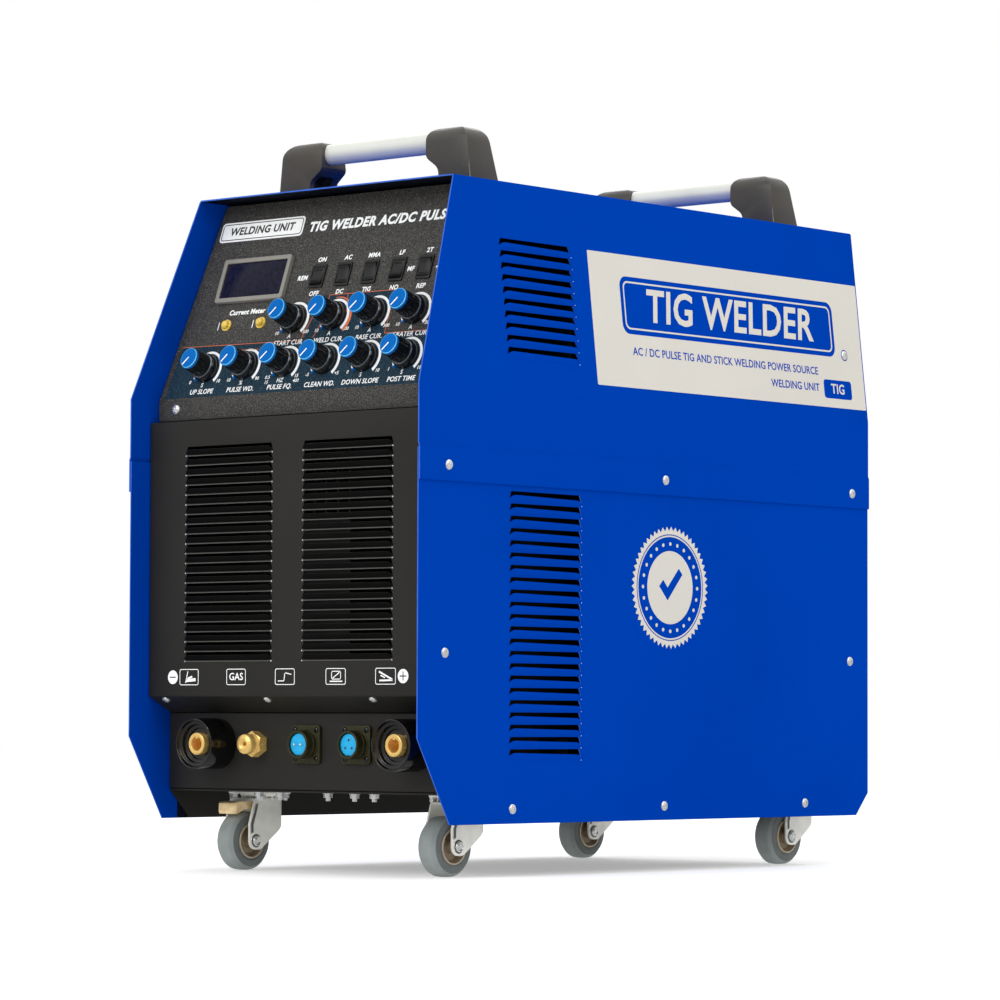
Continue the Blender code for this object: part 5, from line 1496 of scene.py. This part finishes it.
class WELDER_OT_rear(bpy.types.Operator):
    """Fan, breaker, cable gland and gas inlet on the rear panel"""
    bl_idname = "welder.rear"
    bl_label = "Rear fittings"

    def fan(self):
        half, front, back = FAN_RADIUS + 0.004, 0.0390, 0.0015
        ring = plate([rectangle(2 * half, 2 * half, 0.010), circle(FAN_RADIUS - 0.0012, 96)],
                     front - back, shift(FAN_X, REAR_Y - back, FAN_Z) @ UPRIGHT_XZ)
        ring = soften(ring, 0.0006)
        at = shift(FAN_X, REAR_Y - front, FAN_Z)
        arms = [block((0.0120, 0.0006, -0.0030), (FAN_RADIUS, 0.0036, 0.0030),
                      at @ turn((q + 0.5) * math.pi / 2, "Y"), 0.0005) for q in range(4)]
        motor = rod(0.0220, 0.0002, 0.0080, at @ turn(-math.pi / 2, "X"), 48, 0.0008)
        put("fan_housing", [(joined([ring, motor] + arms), "matt_black")],
            stands_for=["fan_frame"])
        axis = shift(FAN_X, REAR_Y - 0.0165, FAN_Z) @ BACKWARD
        hub = turned(rounded([(0.0, 0.0128), (0.0245, 0.0128, 0.0020), (0.0268, 0.0100),
                              (0.0270, -0.0125), (0.0, -0.0125)], 4), 64, axis)
        blades = []
        for k in range(7):
            bm = bmesh.new()
            bmesh.ops.create_grid(bm, x_segments=10, y_segments=6, size=0.5)
            for vertex in bm.verts:
                u, v = vertex.co.x + 0.5, vertex.co.y
                radius, pitch = 0.0245 + 0.0510 * u, math.radians(44 - 18 * u)
                chord = 0.030 + 0.008 * u
                around = (v * chord * math.cos(pitch) + 0.006 * u * u) / radius
                height = -v * chord * math.sin(pitch) + 0.0022 * (1 - 4 * v * v)
                vertex.co = (radius * math.cos(around), radius * math.sin(around), height)
            bm.normal_update()
            if sum(f.normal.z for f in bm.faces) < 0:
                bmesh.ops.reverse_faces(bm, faces=bm.faces)
            blades.append(moved(thickened(bm, 0.0018), axis @ turn(math.tau * k / 7)))
        put("fan_blades", [(joined([hub] + blades), "matt_black")], "fan_rotor",
            ["fan_rotor"])
        guard = []
        mid = shift(FAN_X, REAR_Y + 0.0022, FAN_Z) @ BACKWARD
        for radius in (0.0180, 0.0280, 0.0380, 0.0485, 0.0590, 0.0695, 0.0800):
            wire = [(radius + 0.0009 * math.cos(math.tau * j / 8),
                     0.0009 * math.sin(math.tau * j / 8)) for j in range(8)]
            guard.append(turned(wire, 72, mid, closed=True))
        for q in range(4):
            spoke = mid @ turn((q + 0.5) * math.pi / 2) @ shift(z=-0.0013) @ ALONG_X
            guard.append(rod(0.0010, 0.0, 0.0880, spoke, 12))
            end = mid @ turn((q + 0.5) * math.pi / 2) @ shift(0.0890, 0, -0.0018)
            guard.append(turned(rounded([(0.0, 0.0020), (0.0040, 0.0020, 0.0008), (0.0044, 0.0),
                                         (0.0, 0.0)], 3), 28, end))
        guard.append(rod(0.0175, -0.0008, 0.0004, mid, 40, 0.0003))
        put("fan_guard_wires", [(joined(guard), "bright_zinc")],
            stands_for=["fan_guard"])

    def breaker(self):
        at = shift(BREAKER_X, REAR_Y, BREAKER_Z) @ turn(math.pi)
        nose = block((-0.0270, -0.0080, -0.0225), (0.0270, 0.0500, 0.0225), at, 0.0010, 3)
        case = block((-0.0270, 0.0060, -0.0400), (0.0270, 0.0650, 0.0400), at, 0.0010, 3)
        slot = block((-0.0235, -0.0200, -0.0100), (0.0235, 0.0040, 0.0100), at)
        ribs = [block((x - 0.0003, -0.0083, -0.0222), (x + 0.0003, -0.0076, 0.0222), at)
                for x in (-0.009, 0.009)]
        body = joined([combined(nose, slot), case])
        trim = plate([rectangle(0.0620, 0.0520, 0.0030), rectangle(0.0546, 0.0456, 0.0010)], 0.0018,
                     at @ turn(math.pi / 2, "X") @ shift(z=0.0003))
        words = [lettering(text, 0.0050, at @ FORWARD @ shift(u, v, 0.0081)) for text, u, v in
                 (("ON", 0.0, 0.0165), ("OFF", 0.0, -0.0165))]
        put("breaker_case", [(joined([body, soften(trim, 0.0004)] + ribs), "matt_black"),
                             (joined(words), "white_ink")],
            stands_for=["breaker_body"])
        outline = [(-0.0165, 0.0022, 0.0015), (-0.0165, -0.0022, 0.0015), (0.0020, -0.0040, 0.002),
                   (0.0040, 0.0, 0.002), (0.0020, 0.0040, 0.002)]
        lever = plate([rounded(outline, 5)], 0.0460, shift(-0.0230) @ SIDE_YZ)
        rest = at @ shift(y=-0.0020) @ turn(math.radians(LEVER_TIP), "X")
        lever = moved(soften(lever, 0.0005), rest)
        put("breaker_toggle", [(lever, "handle_plastic")], "breaker_lever",
            ["breaker_lever"])

    def gland(self):
        at = shift(GLAND_X, REAR_Y, FITTING_Z) @ BACKWARD
        profile = rounded([(0.0060, 0.0250), (0.0085, 0.0250, 0.0006), (0.0115, 0.0200, 0.0010),
                           (0.0130, 0.0120, 0.0010), (0.0130, 0.0003), (0.0100, 0.0003),
                           (0.0100, -0.0090), (0.0060, -0.0090)], 3)
        dome = turned(profile, 48, at, closed=True)
        nut = combined(hex_nut(0.0262, 0.0060, shift(z=0.0003)), rod(0.0095, -0.01, 0.02, sides=32))
        plug = rod(0.0060, 0.0180, 0.0235, at, 32, 0.0004)
        grips = [block((0.0118, -0.0008, 0.0080), (0.0134, 0.0008, 0.0190),
                       at @ turn(math.tau * k / 8), 0.0003) for k in range(8)]
        moved(nut, at)
        put("cable_gland_body", [(joined([dome, nut, plug] + grips), "matt_black")],
            stands_for=["cable_gland"])

    def inlet(self):
        at = shift(INLET_X, REAR_Y, FITTING_Z) @ BACKWARD
        profile = [(0.0, 0.0080), (0.0020, 0.0080), (0.0020, 0.0238), (0.0024, 0.0240),
                   (0.0040, 0.0236), (0.0053, 0.0202), (0.0041, 0.0196), (0.0053, 0.0152),
                   (0.0041, 0.0146), (0.0053, 0.0104), (0.0041, 0.0098), (0.0041, 0.0082),
                   (0.0070, 0.0070), (0.0070, 0.0003), (0.0, 0.0003)]
        barb = joined([turned(profile, 40, at), hex_nut(0.0160, 0.0060, at)])
        put("gas_inlet_barb", [(barb, "brass")], stands_for=["gas_inlet"])

    def execute(self, context):
        self.fan()
        self.breaker()
        self.gland()
        self.inlet()
        places = [(side * x, z) for side in (-1, 1) for x, z in REAR_SCREWS]
        put_screws("rear_screws", [shift(x, REAR_Y, z) @ BACKWARD @ turn(0.7 * k)
                                   for k, (x, z) in enumerate(places)])
        return {"FINISHED"}


class WELDER_OT_stage(bpy.types.Operator):
    """Pale floor, soft lights and the camera"""
    bl_idname = "welder.stage"
    bl_label = "Stage"

    def execute(self, context):
        settings = context.scene.welder_stage
        scene = context.scene
        scene.view_settings.view_transform = "Standard"
        bm = bmesh.new()
        bmesh.ops.create_circle(bm, cap_ends=True, segments=96, radius=FLOOR_RADIUS)
        mesh = bpy.data.meshes.new("floor")
        bm.to_mesh(mesh)
        bm.free()
        floor = bpy.data.objects.new("floor", mesh)
        scene.collection.objects.link(floor)
        mesh.materials.append(finish("pale_floor", settings.floor, (0.7, 0.8), grain=(40.0, 1e-5),
                                     mottle=(0.7, 0.01)))
        shader = mesh.materials[0].node_tree.nodes["Principled BSDF"]
        shader.inputs["Emission Color"].default_value = (1.0, 1.0, 1.0, 1.0)
        shader.inputs["Emission Strength"].default_value = FLOOR_GLOW
        floor.visible_glossy = False
        world = bpy.data.worlds.new("surround")
        world.use_nodes = True
        tree = world.node_tree
        background = tree.nodes["Background"]
        coords = tree.nodes.new("ShaderNodeTexCoord")
        parts = tree.nodes.new("ShaderNodeSeparateXYZ")
        tree.links.new(coords.outputs["Generated"], parts.inputs["Vector"])
        height = add_range(tree, parts.outputs["Z"], -0.25, 0.55, settings.low, settings.surround)
        seen = tree.nodes.new("ShaderNodeLightPath")
        shown = add_mix(tree, seen.outputs["Is Camera Ray"], height, (1.0, 1.0, 1.0))
        tree.links.new(shown, background.inputs["Color"])
        scene.world = world
        for name, place, aim, size, power in LIGHTS:
            light = bpy.data.lights.new(name, "AREA")
            light.size, light.energy = size, power
            lamp = bpy.data.objects.new(name, light)
            lamp.location = place
            lamp.rotation_euler = (Vector(aim) - Vector(place)).to_track_quat("-Z", "Y").to_euler()
            scene.collection.objects.link(lamp)
        self.camera(scene, settings.lens)
        return {"FINISHED"}

    def camera(self, scene, lens):
        azimuth, pitch, roll = (math.radians(angle) for angle in CAMERA_ANGLES)
        forward = Vector((-math.sin(azimuth) * math.cos(pitch), math.cos(azimuth) * math.cos(pitch),
                          math.sin(pitch)))
        level = Vector((math.cos(azimuth), math.sin(azimuth), 0.0))
        right = math.cos(roll) * level + math.sin(roll) * level.cross(forward)
        up = right.cross(forward)
        data = bpy.data.cameras.new("camera")
        data.lens, data.sensor_width = lens, SENSOR
        camera = bpy.data.objects.new("camera", data)
        turned_to = Matrix((right, up, -forward)).transposed().to_4x4()
        camera.matrix_world = Matrix.Translation(CAMERA_AT) @ turned_to
        scene.collection.objects.link(camera)
        scene.camera = camera


class WELDER_PT_panel(bpy.types.Panel):
    """Lists the pieces of the machine"""
    bl_label = "TIG welding machine"
    bl_idname = "WELDER_PT_panel"
    bl_space_type = "VIEW_3D"
    bl_region_type = "UI"
    bl_category = "Welder"

    def draw(self, context):
        for name, group in SETTINGS.items():
            settings = getattr(context.scene, name)
            for prop in group.__annotations__:
                self.layout.prop(settings, prop)
        for operator in OPERATORS:
            self.layout.operator(operator.bl_idname)


SETTINGS = {"welder_covers": WELDER_PG_covers, "welder_panels": WELDER_PG_panels,
            "welder_controls": WELDER_PG_controls, "welder_fittings": WELDER_PG_fittings,
            "welder_castors": WELDER_PG_castors, "welder_stage": WELDER_PG_stage}
OPERATORS = (WELDER_OT_covers, WELDER_OT_labels, WELDER_OT_control_panel, WELDER_OT_meter,
             WELDER_OT_knobs, WELDER_OT_switches, WELDER_OT_vent_panel, WELDER_OT_case,
             WELDER_OT_sockets, WELDER_OT_handles, WELDER_OT_castors, WELDER_OT_rear,
             WELDER_OT_stage)


def register():
    for name, group in SETTINGS.items():
        bpy.utils.register_class(group)
        setattr(bpy.types.Scene, name, bpy.props.PointerProperty(type=group))
    for cls in (*OPERATORS, WELDER_PT_panel):
        bpy.utils.register_class(cls)


def unregister():
    for cls in (WELDER_PT_panel, *reversed(OPERATORS)):
        bpy.utils.unregister_class(cls)
    for name, group in SETTINGS.items():
        delattr(bpy.types.Scene, name)
        bpy.utils.unregister_class(group)


def main():
    register()
    for operator in OPERATORS:
        getattr(bpy.ops.welder, operator.bl_idname.split(".")[1])()


if __name__ == "__main__":
    main()
